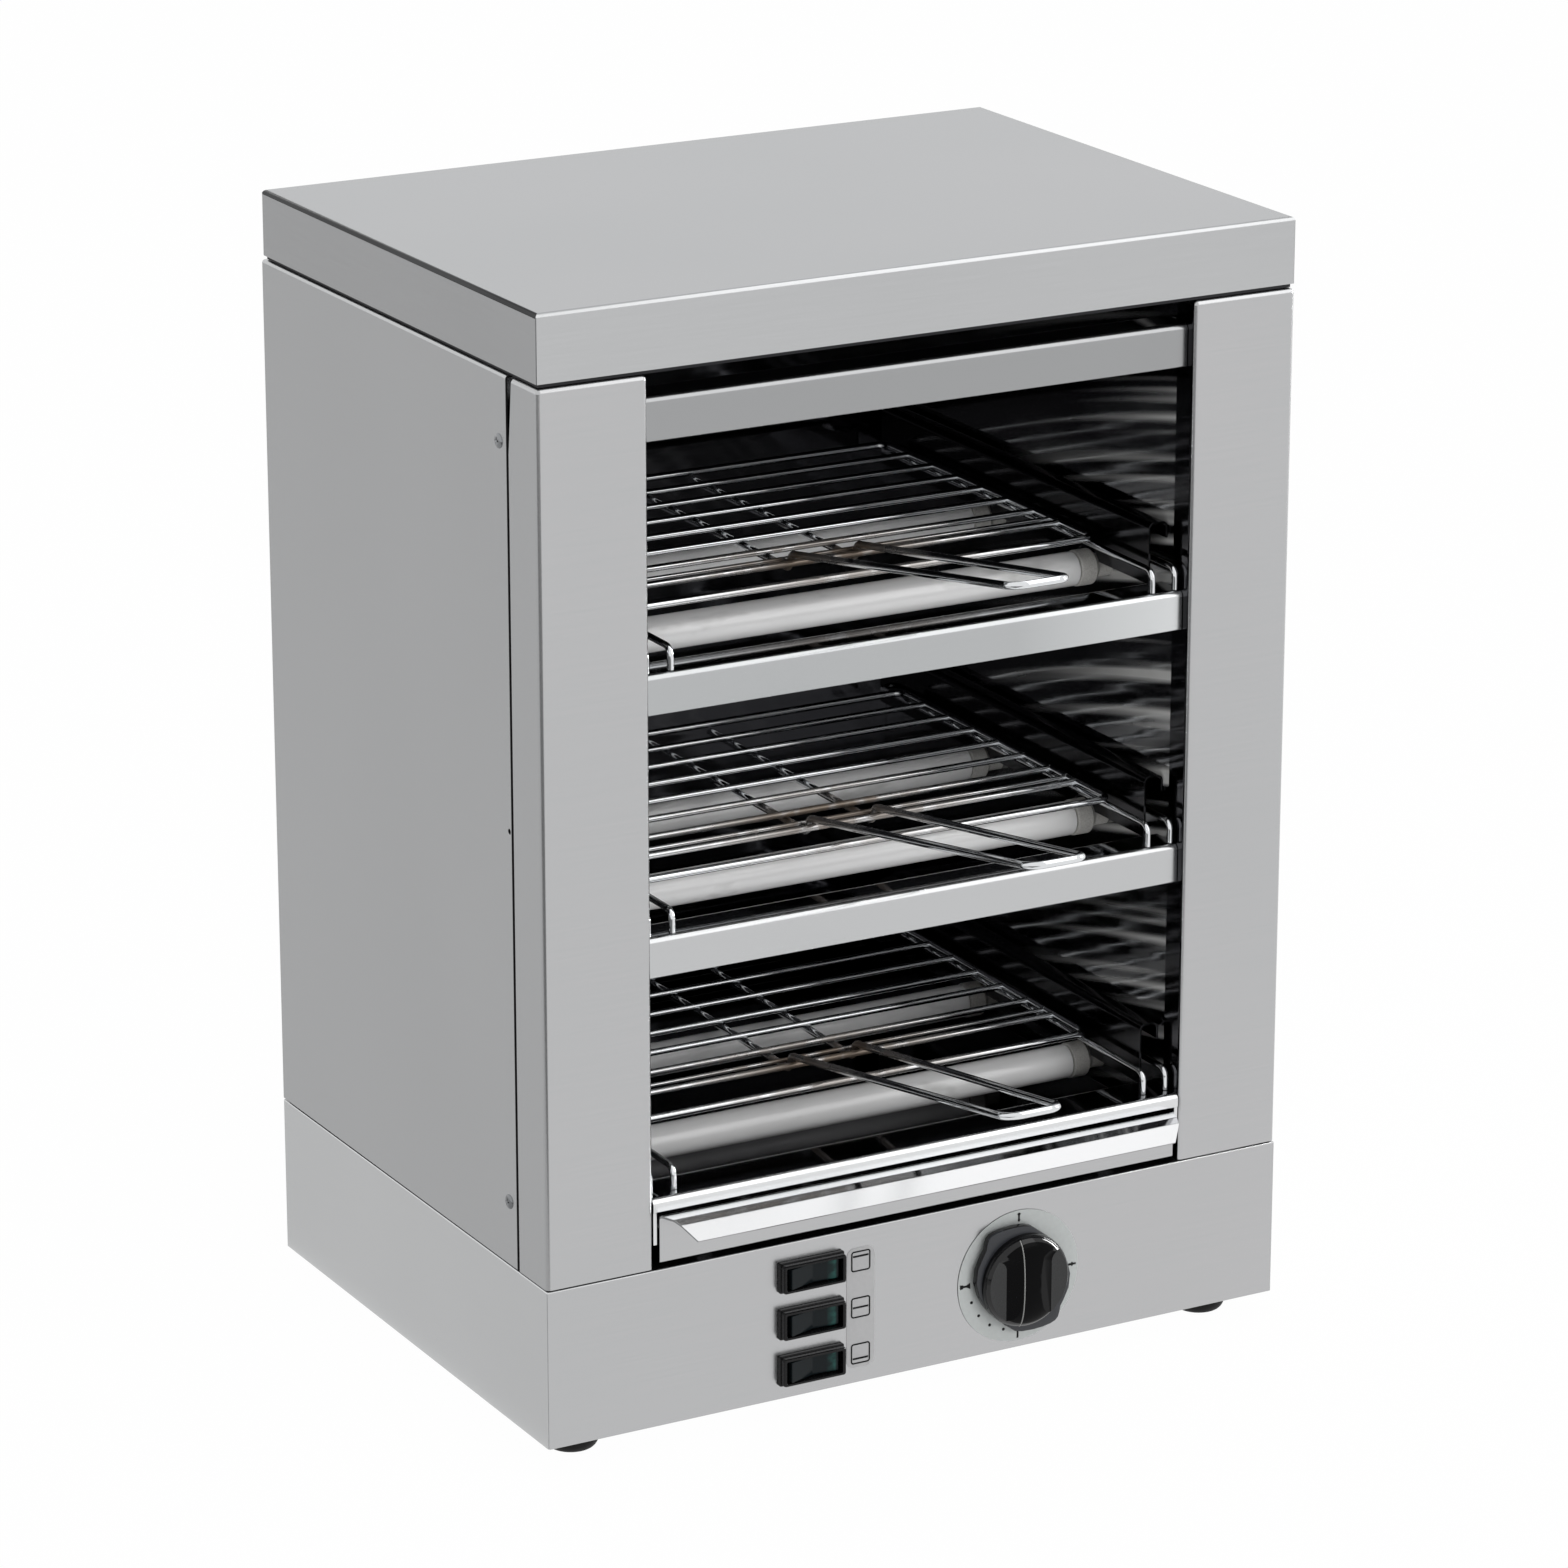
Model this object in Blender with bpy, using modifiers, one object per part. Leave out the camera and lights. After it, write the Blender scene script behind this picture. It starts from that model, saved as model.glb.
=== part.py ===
"""Commercial toaster with three sliding wire grids, two quartz tubes under each grid, and a crumb tray.

Lengths are in metres. +Z is up, +X is the right-hand side as the user sees it, and the front faces -Y.
The origin lies on the surface that the feet stand on, under the middle of the whole toaster's depth, which
takes in the grid handles, so the cabinet's own middle is behind it.
"""

import math

import bmesh
import bpy
from mathutils import Vector

# Cabinet
CABINET_MIDDLE_Y = 0.050
BODY_WIDTH = 0.380
BODY_DEPTH = 0.275
FOOT_HEIGHT = 0.012
BASE_HEIGHT = 0.075
BODY_HEIGHT = 0.407
LID_HEIGHT = 0.0305
LID_SHADOW_GAP = 0.002
LID_INSET = 0.0005
BASE_SEAM = 0.0005
SHEET = 0.001
SEAT = 0.0003
BEND_RADIUS = 0.0025
EDGE_SOFTNESS = 0.0006
OVERRUN = 0.004

# Front columns and side panels
COLUMN_WIDTH = 0.053
COLUMN_SIDE_DEPTH = 0.0265
COLUMN_RETURN_DEPTH = 0.014
TOP_FLANGE_DEPTH = 0.014
PANEL_SEAM = 0.0008
PANEL_FLANGE = 0.012
PANEL_SCREW_RADIUS = 0.0021
PANEL_SCREW_SETBACK = 0.0085
PANEL_SCREW_FROM_END = 0.030
PANEL_PEG_HOLE_RADIUS = 0.0013
PANEL_PEG_HOLE_SETBACK = 0.0035

# Base plate
BASE_SLOT_LENGTH = 0.040
BASE_SLOT_WIDTH = 0.004
BASE_SLOT_PITCH = 0.012
BASE_SLOT_COUNT = 6
BASE_SLOT_X = 0.070

# Rear panel
REAR_SLOT_LENGTH = 0.024
REAR_SLOT_HEIGHT = 0.003
REAR_SLOT_PITCH = 0.009
REAR_SLOT_COUNT = 6
REAR_SLOT_FROM_SIDE = 0.026
REAR_SLOT_FROM_TOP = 0.030

# Toasting levels: where the sill and the top rail lie, and how far the middle grid is drawn forward
SILL_RISE = 0.0325
TOP_RAIL_DROP = 0.011
LEVEL_PITCH = 0.120
DRAWN_FORWARD = {"upper": 0.0, "middle": 0.017, "lower": 0.0}

# Front rails and sill
TOP_RAIL_HEIGHT = 0.020
RAIL_HEIGHT = 0.0185
RAIL_RECESS = 0.0055
RAIL_FLANGE_DEPTH = 0.020
RAIL_LOWER_FLANGE = 0.008
RAIL_LIP = 0.004
RAIL_BEND = 0.0016
SILL_HEIGHT = 0.006

# Chamber
LINER_BEHIND_RETURN = 0.010
LINER_CLEARANCE = 0.0003
CEILING_UPSTAND_INSET = 0.0003

# Grid runners
RUNNER_FROM_OPENING = 0.009
RUNNER_PLATE_RISE = 0.029
RUNNER_LEDGE_WIDTH = 0.010
RUNNER_OUTER_FLANGE = 0.008
RUNNER_FRONT_SETBACK = 0.015
RUNNER_REAR_GAP = 0.012
TUBE_NOTCH_CLEARANCE = 0.002
GUIDE_WIRE_RADIUS = 0.0015
GUIDE_WIRE_RISE = 0.0103
GUIDE_WIRE_SPACING = 0.012
GUIDE_WIRE_BEND = 0.004
GUIDE_FOOT_SETBACK = 0.003
GUIDE_REAR_INSET = 0.008

# Bread grid
GRID_SIDE_GAP = 0.0145
GRID_SETBACK = 0.0585
GRID_WIRE_RADIUS = 0.00175
GRID_CROSS_WIRE_RADIUS = 0.0016
GRID_THIN_WIRE_RADIUS = 0.0011
GRID_CORNER_RADIUS = 0.006
GRID_FIRST_WIRE = 0.029
GRID_WIRE_PITCH = 0.023
GRID_WIRE_COUNT = 7
GRID_THIN_WIRE_SETBACK = 0.008

# Grid handle
HANDLE_WIRE_RADIUS = 0.00175
HANDLE_ROOT_X = 0.017
HANDLE_END_X = 0.014
HANDLE_REACH = 0.1855
HANDLE_SLOPE = math.radians(9.6)
HANDLE_CORNER_RADIUS = 0.007

# Quartz heater tubes and their ceramic caps
TUBE_RADIUS = 0.008
TUBE_SIDE_GAP = 0.017
TUBE_BELOW_RAIL_TOP = 0.004
FRONT_TUBE_SETBACK = 0.0725
REAR_TUBE_SETBACK = 0.1675
CAP_RADIUS = 0.0084
CAP_COLLAR_LENGTH = 0.008
CAP_CONE_LENGTH = 0.003
CAP_NECK_RADIUS = 0.0055
CAP_NECK_LENGTH = 0.017
CAP_CHAMFER = 0.0008

# Crumb tray
TRAY_SIDE_GAP = 0.003
TRAY_RISE = 0.0027
TRAY_FRONT_HEIGHT = 0.0218
TRAY_WALL_HEIGHT = 0.016
TRAY_REAR_GAP = 0.012
TRAY_FLANGE_DEPTH = 0.0115
TRAY_LIP_FORWARD = 0.0055
TRAY_LIP_DROP = 0.0068
TRAY_FLANGE_TAPER = 0.0046
TRAY_LIP_TAPER = 0.0053
TRAY_BEND = 0.0012
TRAY_BEAD_FROM_OPENING = 0.032
TRAY_BEAD_WIDTH = 0.008
TRAY_BEAD_END_GAP = 0.012

# Rocker switches
SWITCH_X = -0.0578
SWITCH_MIDDLE_Z = 0.0485
SWITCH_PITCH = 0.0225
BEZEL_WIDTH = 0.0332
BEZEL_HEIGHT = 0.0146
BEZEL_FLANGE = 0.0018
BEZEL_RIM_DEPTH = 0.005
BEZEL_RIM_INSET = 0.0006
BEZEL_WALL = 0.0014
BEZEL_CORNER = 0.0012
SWITCH_BODY_WIDTH = 0.0290
SWITCH_BODY_HEIGHT = 0.0125
SWITCH_BODY_DEPTH = 0.022
SWITCH_CUTOUT_CLEARANCE = 0.0004
SWITCH_WELL_DEPTH = 0.006
SWITCH_TERMINAL_THICKNESS = 0.001
SWITCH_TERMINAL_WIDTH = 0.0048
SWITCH_TERMINAL_LENGTH = 0.008
SWITCH_TERMINAL_SPACING = 0.008
ROCKER_END_CLEARANCE = 0.0016
ROCKER_SIDE_CLEARANCE = 0.0004
ROCKER_TIP_DEPTH = 0.0010
ROCKER_WAIST_DEPTH = 0.0022
ROCKER_THICKNESS = 0.0035
ROCKER_PIVOT_WIDTH = 0.0016
ROCKER_TILT = math.radians(7.0)

# Timer, dial plate and knob
DIAL_X = 0.0512
DIAL_Z = 0.0474
DIAL_RADIUS = 0.032
DIAL_THICKNESS = 0.0008
DIAL_HOLE_CLEARANCE = 0.0006
SHAFT_RADIUS = 0.003
SHAFT_LENGTH = 0.014
SHAFT_BORE_CLEARANCE = 0.0003
KNOB_SKIRT_RADIUS = 0.0258
KNOB_BODY_RADIUS = 0.0228
KNOB_FACE_RADIUS = 0.0218
KNOB_SKIRT_DEPTH = 0.0032
KNOB_BODY_DEPTH = 0.0100
KNOB_GAP = 0.0008
KNOB_ROUNDING = 0.0010
GRIP_WIDTH = 0.016
GRIP_DEPTH = 0.0185
GRIP_ROUNDING = 0.0018
TIMER_WIDTH = 0.042
TIMER_HEIGHT = 0.044
TIMER_DEPTH = 0.030
TIMER_BUSH_RADIUS = 0.0055
TIMER_BUSH_CLEARANCE = 0.0005

# Feet
FOOT_RADIUS = 0.0125
FOOT_SOLE_RADIUS = 0.0085
FOOT_SHOULDER_HEIGHT = 0.005
FOOT_CURVE_HEIGHT = 0.00125
FOOT_FROM_SIDE = 0.024
FOOT_FROM_END = 0.0255

# Cable gland
GLAND_FROM_SIDE = 0.070
GLAND_Z = 0.040
GLAND_FLANGE_RADIUS = 0.012
GLAND_FLANGE_DEPTH = 0.005
GLAND_DOME_RADIUS = 0.0095
GLAND_DOME_DEPTH = 0.011
GLAND_DOME_TAPER = 0.00367
GLAND_THREAD_RADIUS = 0.0080
GLAND_THREAD_LENGTH = 0.010
GLAND_NUT_RADIUS = 0.0115
GLAND_NUT_DEPTH = 0.004
GLAND_BORE_RADIUS = 0.0045

# Faceting
ROUND_STEPS = 32
TUBE_STEPS = 20
CAP_STEPS = 16
BEND_STEPS = 3
WIRE_SIDES_RESOLUTION = 2
MERGE_DISTANCE = 0.000001

# Places that several pieces share
HALF_WIDTH = BODY_WIDTH / 2
FRONT = CABINET_MIDDLE_Y - BODY_DEPTH / 2
BACK = CABINET_MIDDLE_Y + BODY_DEPTH / 2
BASE_TOP = FOOT_HEIGHT + BASE_HEIGHT
BODY_BOTTOM = BASE_TOP + BASE_SEAM
BODY_TOP = BODY_BOTTOM + BODY_HEIGHT
LID_BOTTOM = BODY_TOP + LID_SHADOW_GAP
LID_TOP = LID_BOTTOM + LID_HEIGHT
OPENING_HALF = HALF_WIDTH - COLUMN_WIDTH
LINER_INNER_X = OPENING_HALF + SHEET + LINER_CLEARANCE
RUNNER_PLATE_X = OPENING_HALF - RUNNER_FROM_OPENING
GRID_HALF_WIDTH = OPENING_HALF - GRID_SIDE_GAP
TUBE_HALF_LENGTH = OPENING_HALF - TUBE_SIDE_GAP
GLAND_X = GLAND_FROM_SIDE - HALF_WIDTH
TRAY_BEAD_X = OPENING_HALF - TRAY_BEAD_FROM_OPENING
RAIL_FRONT = FRONT + RAIL_RECESS
REAR_INNER = BACK - SHEET
SILL_TOP = BODY_BOTTOM + SILL_RISE
TOP_RAIL_TOP = BODY_TOP - TOP_RAIL_DROP
FOOT_X = HALF_WIDTH - FOOT_FROM_SIDE
LEVEL_NAMES = ("lower", "middle", "upper")
SIDES = (("left", -1), ("right", 1))

# Turns: a sheet's outline laid across X or Y, and an axis laid along X, to the front or to the back
ACROSS_X = (math.radians(90), 0, math.radians(90))
ACROSS_Y = (math.radians(90), 0, 0)
TO_RIGHT = (0, math.radians(90), 0)
TO_FRONT = (math.radians(90), 0, 0)
TO_BACK = (math.radians(-90), 0, 0)


def rail_top(level):
    """Height of the top face of the rail that a level's runners stand on."""
    return SILL_TOP + LEVEL_NAMES.index(level) * LEVEL_PITCH


def srgb(hex_code):
    """Linear colour from a hex code such as 'C0C2C4'."""
    shares = [int(hex_code[i : i + 2], 16) / 255 for i in (0, 2, 4)]
    return tuple(s / 12.92 if s <= 0.04045 else ((s + 0.055) / 1.055) ** 2.4 for s in shares) + (1.0,)


def clear_scene():
    for piece in list(bpy.data.objects):
        bpy.data.objects.remove(piece)


def collection(name):
    made = bpy.data.collections.new(name)
    bpy.context.scene.collection.children.link(made)
    return made


def material(name, hex_code, roughness, metallic=0.0, transmission=0.0):
    made = bpy.data.materials.new(name)
    made.use_nodes = True
    shader = made.node_tree.nodes["Principled BSDF"]
    shader.inputs["Base Color"].default_value = srgb(hex_code)
    shader.inputs["Roughness"].default_value = roughness
    shader.inputs["Metallic"].default_value = metallic
    shader.inputs["Transmission Weight"].default_value = transmission
    made.diffuse_color = srgb(hex_code)
    return made


def place(name, data, finish, location=(0, 0, 0), turn=(0, 0, 0), parent=None, helper=False):
    """One named object in the toaster's collection, or a hidden helper in the cutters' collection."""
    piece = bpy.data.objects.new(name, data)
    if finish is not None:
        data.materials.append(finish)
    piece.location = location
    piece.rotation_euler = turn
    piece.parent = parent
    (CUTTERS if helper else PARTS).objects.link(piece)
    if helper:
        piece.hide_render = True
        piece.display_type = "WIRE"
    return piece


def block(name, low, high, finish=None, **placing):
    """A box between two corners, its origin at its middle."""
    low, high = Vector(low), Vector(high)
    shape = bmesh.new()
    bmesh.ops.create_cube(shape, size=1)
    bmesh.ops.scale(shape, vec=high - low, verts=shape.verts)
    mesh = bpy.data.meshes.new(name)
    shape.to_mesh(mesh)
    shape.free()
    return place(name, mesh, finish, location=(low + high) / 2, **placing)


def open_box(name, low, high, open_top, finish, thickness=SHEET):
    """A folded sheet box whose outer faces lie between two corners, open at its top or its bottom."""
    box = block(name, low, high, finish)
    shape = bmesh.new()
    shape.from_mesh(box.data)
    facing = 1 if open_top else -1
    missing = [face for face in shape.faces if face.normal.z * facing > 0.5]
    bmesh.ops.delete(shape, geom=missing, context="FACES_ONLY")
    shape.to_mesh(box.data)
    shape.free()
    thicken(box, thickness, -1)
    return box


def cylinder(name, radius, length, steps, finish=None, **placing):
    """A closed cylinder along local Z, its origin at its middle."""
    shape = bmesh.new()
    bmesh.ops.create_cone(
        shape, cap_ends=True, segments=steps, radius1=radius, radius2=radius, depth=length
    )
    mesh = bpy.data.meshes.new(name)
    shape.to_mesh(mesh)
    shape.free()
    round_shading(mesh)
    return place(name, mesh, finish, **placing)


def turned(name, profile, steps, finish, **placing):
    """A profile of (radius, height) points, listed from the top down its outer side, turned about local Z."""
    mesh = bpy.data.meshes.new(name)
    shape = bmesh.new()
    corners = [shape.verts.new((radius, 0, height)) for radius, height in profile]
    if profile[0][0] > 0:
        corners.append(corners[0])
    for first, second in zip(corners, corners[1:]):
        shape.edges.new((first, second))
    shape.to_mesh(mesh)
    shape.free()
    piece = place(name, mesh, finish, **placing)
    screw = piece.modifiers.new("Turn", "SCREW")
    screw.steps = steps
    screw.render_steps = steps
    screw.use_merge_vertices = True
    screw.merge_threshold = MERGE_DISTANCE
    screw.use_smooth_shade = False
    return piece


def thicken(piece, thickness, side):
    """Gives an open surface its sheet thickness, behind its normals where side is -1."""
    solid = piece.modifiers.new("Sheet", "SOLIDIFY")
    solid.thickness = thickness
    solid.offset = side
    solid.use_even_offset = True
    return solid


def soften(piece, width, steps=1, angle=math.radians(50)):
    bevel = piece.modifiers.new("Soft edges", "BEVEL")
    bevel.width = width
    bevel.segments = steps
    bevel.limit_method = "ANGLE"
    bevel.angle_limit = angle
    return bevel


def boolean(piece, other, operation):
    step = piece.modifiers.new(operation.title(), "BOOLEAN")
    step.operation = operation
    step.object = other
    return step


def cut(piece, cutter):
    boolean(piece, cutter, "DIFFERENCE")


def join(piece, addition):
    boolean(piece, addition, "UNION")


def round_shading(mesh, angle=math.radians(40)):
    mesh.shade_smooth()
    mesh.set_sharp_from_angle(angle=angle)


def rounded(points, radius, steps=BEND_STEPS, closed=False):
    """The points of a path in 2D or 3D with each inner corner replaced by an arc."""
    points = [Vector(point) for point in points]
    made = []
    for index, corner in enumerate(points):
        inner = closed or 0 < index < len(points) - 1
        if not inner:
            made.append(corner)
            continue
        before = (points[index - 1] - corner).normalized()
        after = (points[(index + 1) % len(points)] - corner).normalized()
        half = before.angle(after) / 2
        middle = corner + (before + after).normalized() * (radius / math.sin(half))
        start = corner + before * (radius / math.tan(half)) - middle
        end = corner + after * (radius / math.tan(half)) - middle
        swept = math.pi - 2 * half
        for step in range(steps + 1):
            share = step / steps
            made.append(
                middle
                + (start * math.sin((1 - share) * swept) + end * math.sin(share * swept)) / math.sin(swept)
            )
    return made


def bent_sheet(name, outline, length, finish, side=-1, **placing):
    """A sheet bent to an outline in local XY, running along local Z, its origin on the outline's origin.

    The sheet's thickness lies to the right of the outline's direction where side is -1, else to its left.
    """
    shape = bmesh.new()
    line = [shape.verts.new((point[0], point[1], -length / 2)) for point in outline]
    edges = [shape.edges.new(pair) for pair in zip(line, line[1:])]
    swept = bmesh.ops.extrude_edge_only(shape, edges=edges)["geom"]
    raised = [item for item in swept if isinstance(item, bmesh.types.BMVert)]
    bmesh.ops.translate(shape, vec=(0, 0, length), verts=raised)
    mesh = bpy.data.meshes.new(name)
    shape.to_mesh(mesh)
    shape.free()
    round_shading(mesh)
    piece = place(name, mesh, finish, **placing)
    thicken(piece, SHEET, side)
    return piece


def wire(name, points, radius, finish=None, closed=False, **placing):
    """A round wire along a path of points, made a mesh so that it can be joined or cut."""
    curve = bpy.data.curves.new(name, "CURVE")
    curve.dimensions = "3D"
    curve.bevel_depth = radius
    curve.bevel_resolution = WIRE_SIDES_RESOLUTION
    curve.use_fill_caps = not closed
    line = curve.splines.new("POLY")
    line.points.add(len(points) - 1)
    for knot, point in zip(line.points, points):
        knot.co = (*point, 1)
    line.use_cyclic_u = closed
    guide = bpy.data.objects.new(name + "_path", curve)
    CUTTERS.objects.link(guide)
    graph = bpy.context.evaluated_depsgraph_get()
    mesh = bpy.data.meshes.new_from_object(guide.evaluated_get(graph))
    bpy.data.objects.remove(guide)
    shape = bmesh.new()
    shape.from_mesh(mesh)
    bmesh.ops.remove_doubles(shape, verts=shape.verts, dist=MERGE_DISTANCE)
    shape.to_mesh(mesh)
    shape.free()
    mesh.name = name
    round_shading(mesh)
    return place(name, mesh, finish, **placing)


def joint_origin(name, location):
    """An empty on a joint's axis, which carries the pieces that move together."""
    origin = bpy.data.objects.new(name, None)
    origin.location = location
    PARTS.objects.link(origin)
    return origin


def build_base():
    """Base housing with its switch, timer and gland holes, the slotted plate that closes it, and the feet."""
    housing = open_box(
        "base_housing",
        (-HALF_WIDTH, FRONT, FOOT_HEIGHT),
        (HALF_WIDTH, BACK, BASE_TOP),
        open_top=False,
        finish=STEEL,
    )
    soften(housing, EDGE_SOFTNESS)
    for switch in range(-1, 2):
        middle = SWITCH_MIDDLE_Z + switch * SWITCH_PITCH
        half_width = SWITCH_BODY_WIDTH / 2 + SWITCH_CUTOUT_CLEARANCE
        half_height = SWITCH_BODY_HEIGHT / 2 + SWITCH_CUTOUT_CLEARANCE
        cut(
            housing,
            block(
                f"switch_cutout_{switch + 2}",
                (SWITCH_X - half_width, FRONT - OVERRUN, middle - half_height),
                (SWITCH_X + half_width, FRONT + OVERRUN, middle + half_height),
                helper=True,
            ),
        )
    cut(
        housing,
        cylinder(
            "timer_hole",
            TIMER_BUSH_RADIUS + TIMER_BUSH_CLEARANCE,
            OVERRUN * 2,
            CAP_STEPS,
            location=(DIAL_X, FRONT, DIAL_Z),
            turn=TO_FRONT,
            helper=True,
        ),
    )
    cut(
        housing,
        cylinder(
            "gland_hole",
            GLAND_THREAD_RADIUS + SEAT,
            OVERRUN * 2,
            CAP_STEPS,
            location=(GLAND_X, BACK, GLAND_Z),
            turn=TO_FRONT,
            helper=True,
        ),
    )
    for side_name, side in SIDES:
        middle = side * TRAY_BEAD_X
        join(
            housing,
            block(
                f"tray_bead_{side_name}",
                (middle - TRAY_BEAD_WIDTH / 2, FRONT + TRAY_BEAD_END_GAP, BASE_TOP - SHEET / 2),
                (middle + TRAY_BEAD_WIDTH / 2, BACK - TRAY_BEAD_END_GAP, BASE_TOP + TRAY_RISE - SEAT),
                helper=True,
            ),
        )
    inner_x = HALF_WIDTH - SHEET - SEAT
    inset = SHEET + SEAT
    plate = block(
        "base_plate",
        (-inner_x, FRONT + inset, FOOT_HEIGHT),
        (inner_x, BACK - inset, FOOT_HEIGHT + SHEET),
        STEEL,
    )
    for side_name, side in SIDES:
        for slot in range(BASE_SLOT_COUNT):
            y = CABINET_MIDDLE_Y + (slot - (BASE_SLOT_COUNT - 1) / 2) * BASE_SLOT_PITCH
            x = side * BASE_SLOT_X
            cut(
                plate,
                block(
                    f"base_slot_{side_name}_{slot + 1}",
                    (x - BASE_SLOT_LENGTH / 2, y - BASE_SLOT_WIDTH / 2, FOOT_HEIGHT - OVERRUN),
                    (x + BASE_SLOT_LENGTH / 2, y + BASE_SLOT_WIDTH / 2, FOOT_HEIGHT + OVERRUN),
                    helper=True,
                ),
            )
    top = FOOT_HEIGHT - SEAT
    profile = [
        (0, top),
        (FOOT_RADIUS, top),
        (FOOT_RADIUS, FOOT_SHOULDER_HEIGHT),
        ((FOOT_RADIUS + FOOT_SOLE_RADIUS) / 2, FOOT_CURVE_HEIGHT),
        (FOOT_SOLE_RADIUS, 0),
        (0, 0),
    ]
    for depth_name, depth in (("front", FRONT + FOOT_FROM_END), ("rear", BACK - FOOT_FROM_END)):
        for side_name, side in SIDES:
            turned(
                f"{depth_name}_{side_name}_foot",
                profile,
                CAP_STEPS,
                RUBBER,
                location=(side * FOOT_X, depth, 0),
            )


def build_columns():
    """The two folded sheets round the cabinet's front corners, each closed at its top by a flange."""
    for side_name, side in SIDES:
        outline = [
            (side * HALF_WIDTH, FRONT + COLUMN_SIDE_DEPTH),
            (side * HALF_WIDTH, FRONT),
            (side * OPENING_HALF, FRONT),
            (side * OPENING_HALF, FRONT + COLUMN_RETURN_DEPTH),
        ]
        column = bent_sheet(
            f"{side_name}_front_column",
            rounded(outline, BEND_RADIUS),
            BODY_HEIGHT,
            STEEL,
            side=-side,
            location=(0, 0, BODY_BOTTOM + BODY_HEIGHT / 2),
        )
        inner = LINER_INNER_X + SHEET + SEAT
        low_x, high_x = sorted((side * inner, side * (HALF_WIDTH - BEND_RADIUS)))
        join(
            column,
            block(
                f"{side_name}_column_flange",
                (low_x, FRONT + SHEET / 2, BODY_TOP - SHEET),
                (high_x, FRONT + TOP_FLANGE_DEPTH, BODY_TOP),
                helper=True,
            ),
        )


def build_side_panels():
    """The removable side sheets, each with a flange folded in along its top and three holes near the seam."""
    seam = FRONT + COLUMN_SIDE_DEPTH + PANEL_SEAM
    for side_name, side in SIDES:
        outline = [
            (side * (HALF_WIDTH - PANEL_FLANGE), BODY_TOP),
            (side * HALF_WIDTH, BODY_TOP),
            (side * HALF_WIDTH, BODY_BOTTOM),
        ]
        depth = BACK - seam
        panel = bent_sheet(
            f"{side_name}_side_panel",
            rounded(outline, BEND_RADIUS),
            depth,
            STEEL,
            side=-side,
            location=(0, seam + depth / 2, 0),
            turn=ACROSS_Y,
        )
        holes = (
            ("lower_screw", PANEL_SCREW_RADIUS, PANEL_SCREW_SETBACK, BODY_BOTTOM + PANEL_SCREW_FROM_END),
            ("upper_screw", PANEL_SCREW_RADIUS, PANEL_SCREW_SETBACK, BODY_TOP - PANEL_SCREW_FROM_END),
            ("peg", PANEL_PEG_HOLE_RADIUS, PANEL_PEG_HOLE_SETBACK, (BODY_BOTTOM + BODY_TOP) / 2),
        )
        for hole_name, radius, setback, height in holes:
            cut(
                panel,
                cylinder(
                    f"{side_name}_panel_{hole_name}_hole",
                    radius,
                    OVERRUN * 2,
                    CAP_STEPS // 2,
                    location=(side * HALF_WIDTH, seam + setback, height),
                    turn=TO_RIGHT,
                    helper=True,
                ),
            )


def build_rear_panel():
    """The back wall, with slots behind the two wiring spaces at the sides."""
    half = HALF_WIDTH - SHEET - SEAT
    panel = block("rear_panel", (-half, REAR_INNER, BODY_BOTTOM), (half, BACK, BODY_TOP - BEND_RADIUS), STEEL)
    for side_name, side in SIDES:
        middle = side * (HALF_WIDTH - REAR_SLOT_FROM_SIDE)
        for slot in range(REAR_SLOT_COUNT):
            height = BODY_TOP - REAR_SLOT_FROM_TOP - slot * REAR_SLOT_PITCH
            cut(
                panel,
                block(
                    f"rear_slot_{side_name}_{slot + 1}",
                    (middle - REAR_SLOT_LENGTH / 2, BACK - OVERRUN, height - REAR_SLOT_HEIGHT / 2),
                    (middle + REAR_SLOT_LENGTH / 2, BACK + OVERRUN, height + REAR_SLOT_HEIGHT / 2),
                    helper=True,
                ),
            )


def build_top():
    """The ceiling pan over the chamber, and the cover whose top rests on the pan's upstand."""
    cover_x = HALF_WIDTH - LID_INSET
    inner_x = cover_x - SHEET - CEILING_UPSTAND_INSET
    inset = LID_INSET + SHEET + CEILING_UPSTAND_INSET
    open_box(
        "chamber_ceiling",
        (-inner_x, FRONT + inset, BODY_TOP + SEAT),
        (inner_x, BACK - inset, LID_TOP - SHEET - SEAT),
        open_top=True,
        finish=POLISHED,
    )
    cover = open_box(
        "top_cover",
        (-cover_x, FRONT + LID_INSET, LID_BOTTOM),
        (cover_x, BACK - LID_INSET, LID_TOP),
        open_top=False,
        finish=STEEL,
    )
    soften(cover, EDGE_SOFTNESS)


def tube_places():
    """Name and depth of the two tubes of a level."""
    return (("front", FRONT + FRONT_TUBE_SETBACK), ("rear", FRONT + REAR_TUBE_SETBACK))


def tube_height(level):
    return rail_top(level) - TUBE_BELOW_RAIL_TOP


def build_liners():
    """The polished walls of the chamber, with a hole for the neck of each ceramic cap."""
    front = FRONT + COLUMN_RETURN_DEPTH - LINER_BEHIND_RETURN
    for side_name, side in SIDES:
        low_x, high_x = sorted((side * LINER_INNER_X, side * (LINER_INNER_X + SHEET)))
        liner = block(
            f"{side_name}_chamber_liner",
            (low_x, front, BODY_BOTTOM),
            (high_x, REAR_INNER - SEAT, BODY_TOP),
            POLISHED,
        )
        for level in LEVEL_NAMES:
            for tube_name, depth in tube_places():
                cut(
                    liner,
                    cylinder(
                        f"{side_name}_{level}_{tube_name}_cap_hole",
                        CAP_NECK_RADIUS + SEAT,
                        OVERRUN * 2,
                        CAP_STEPS,
                        location=(side * LINER_INNER_X, depth, tube_height(level)),
                        turn=TO_RIGHT,
                        helper=True,
                    ),
                )


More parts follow.
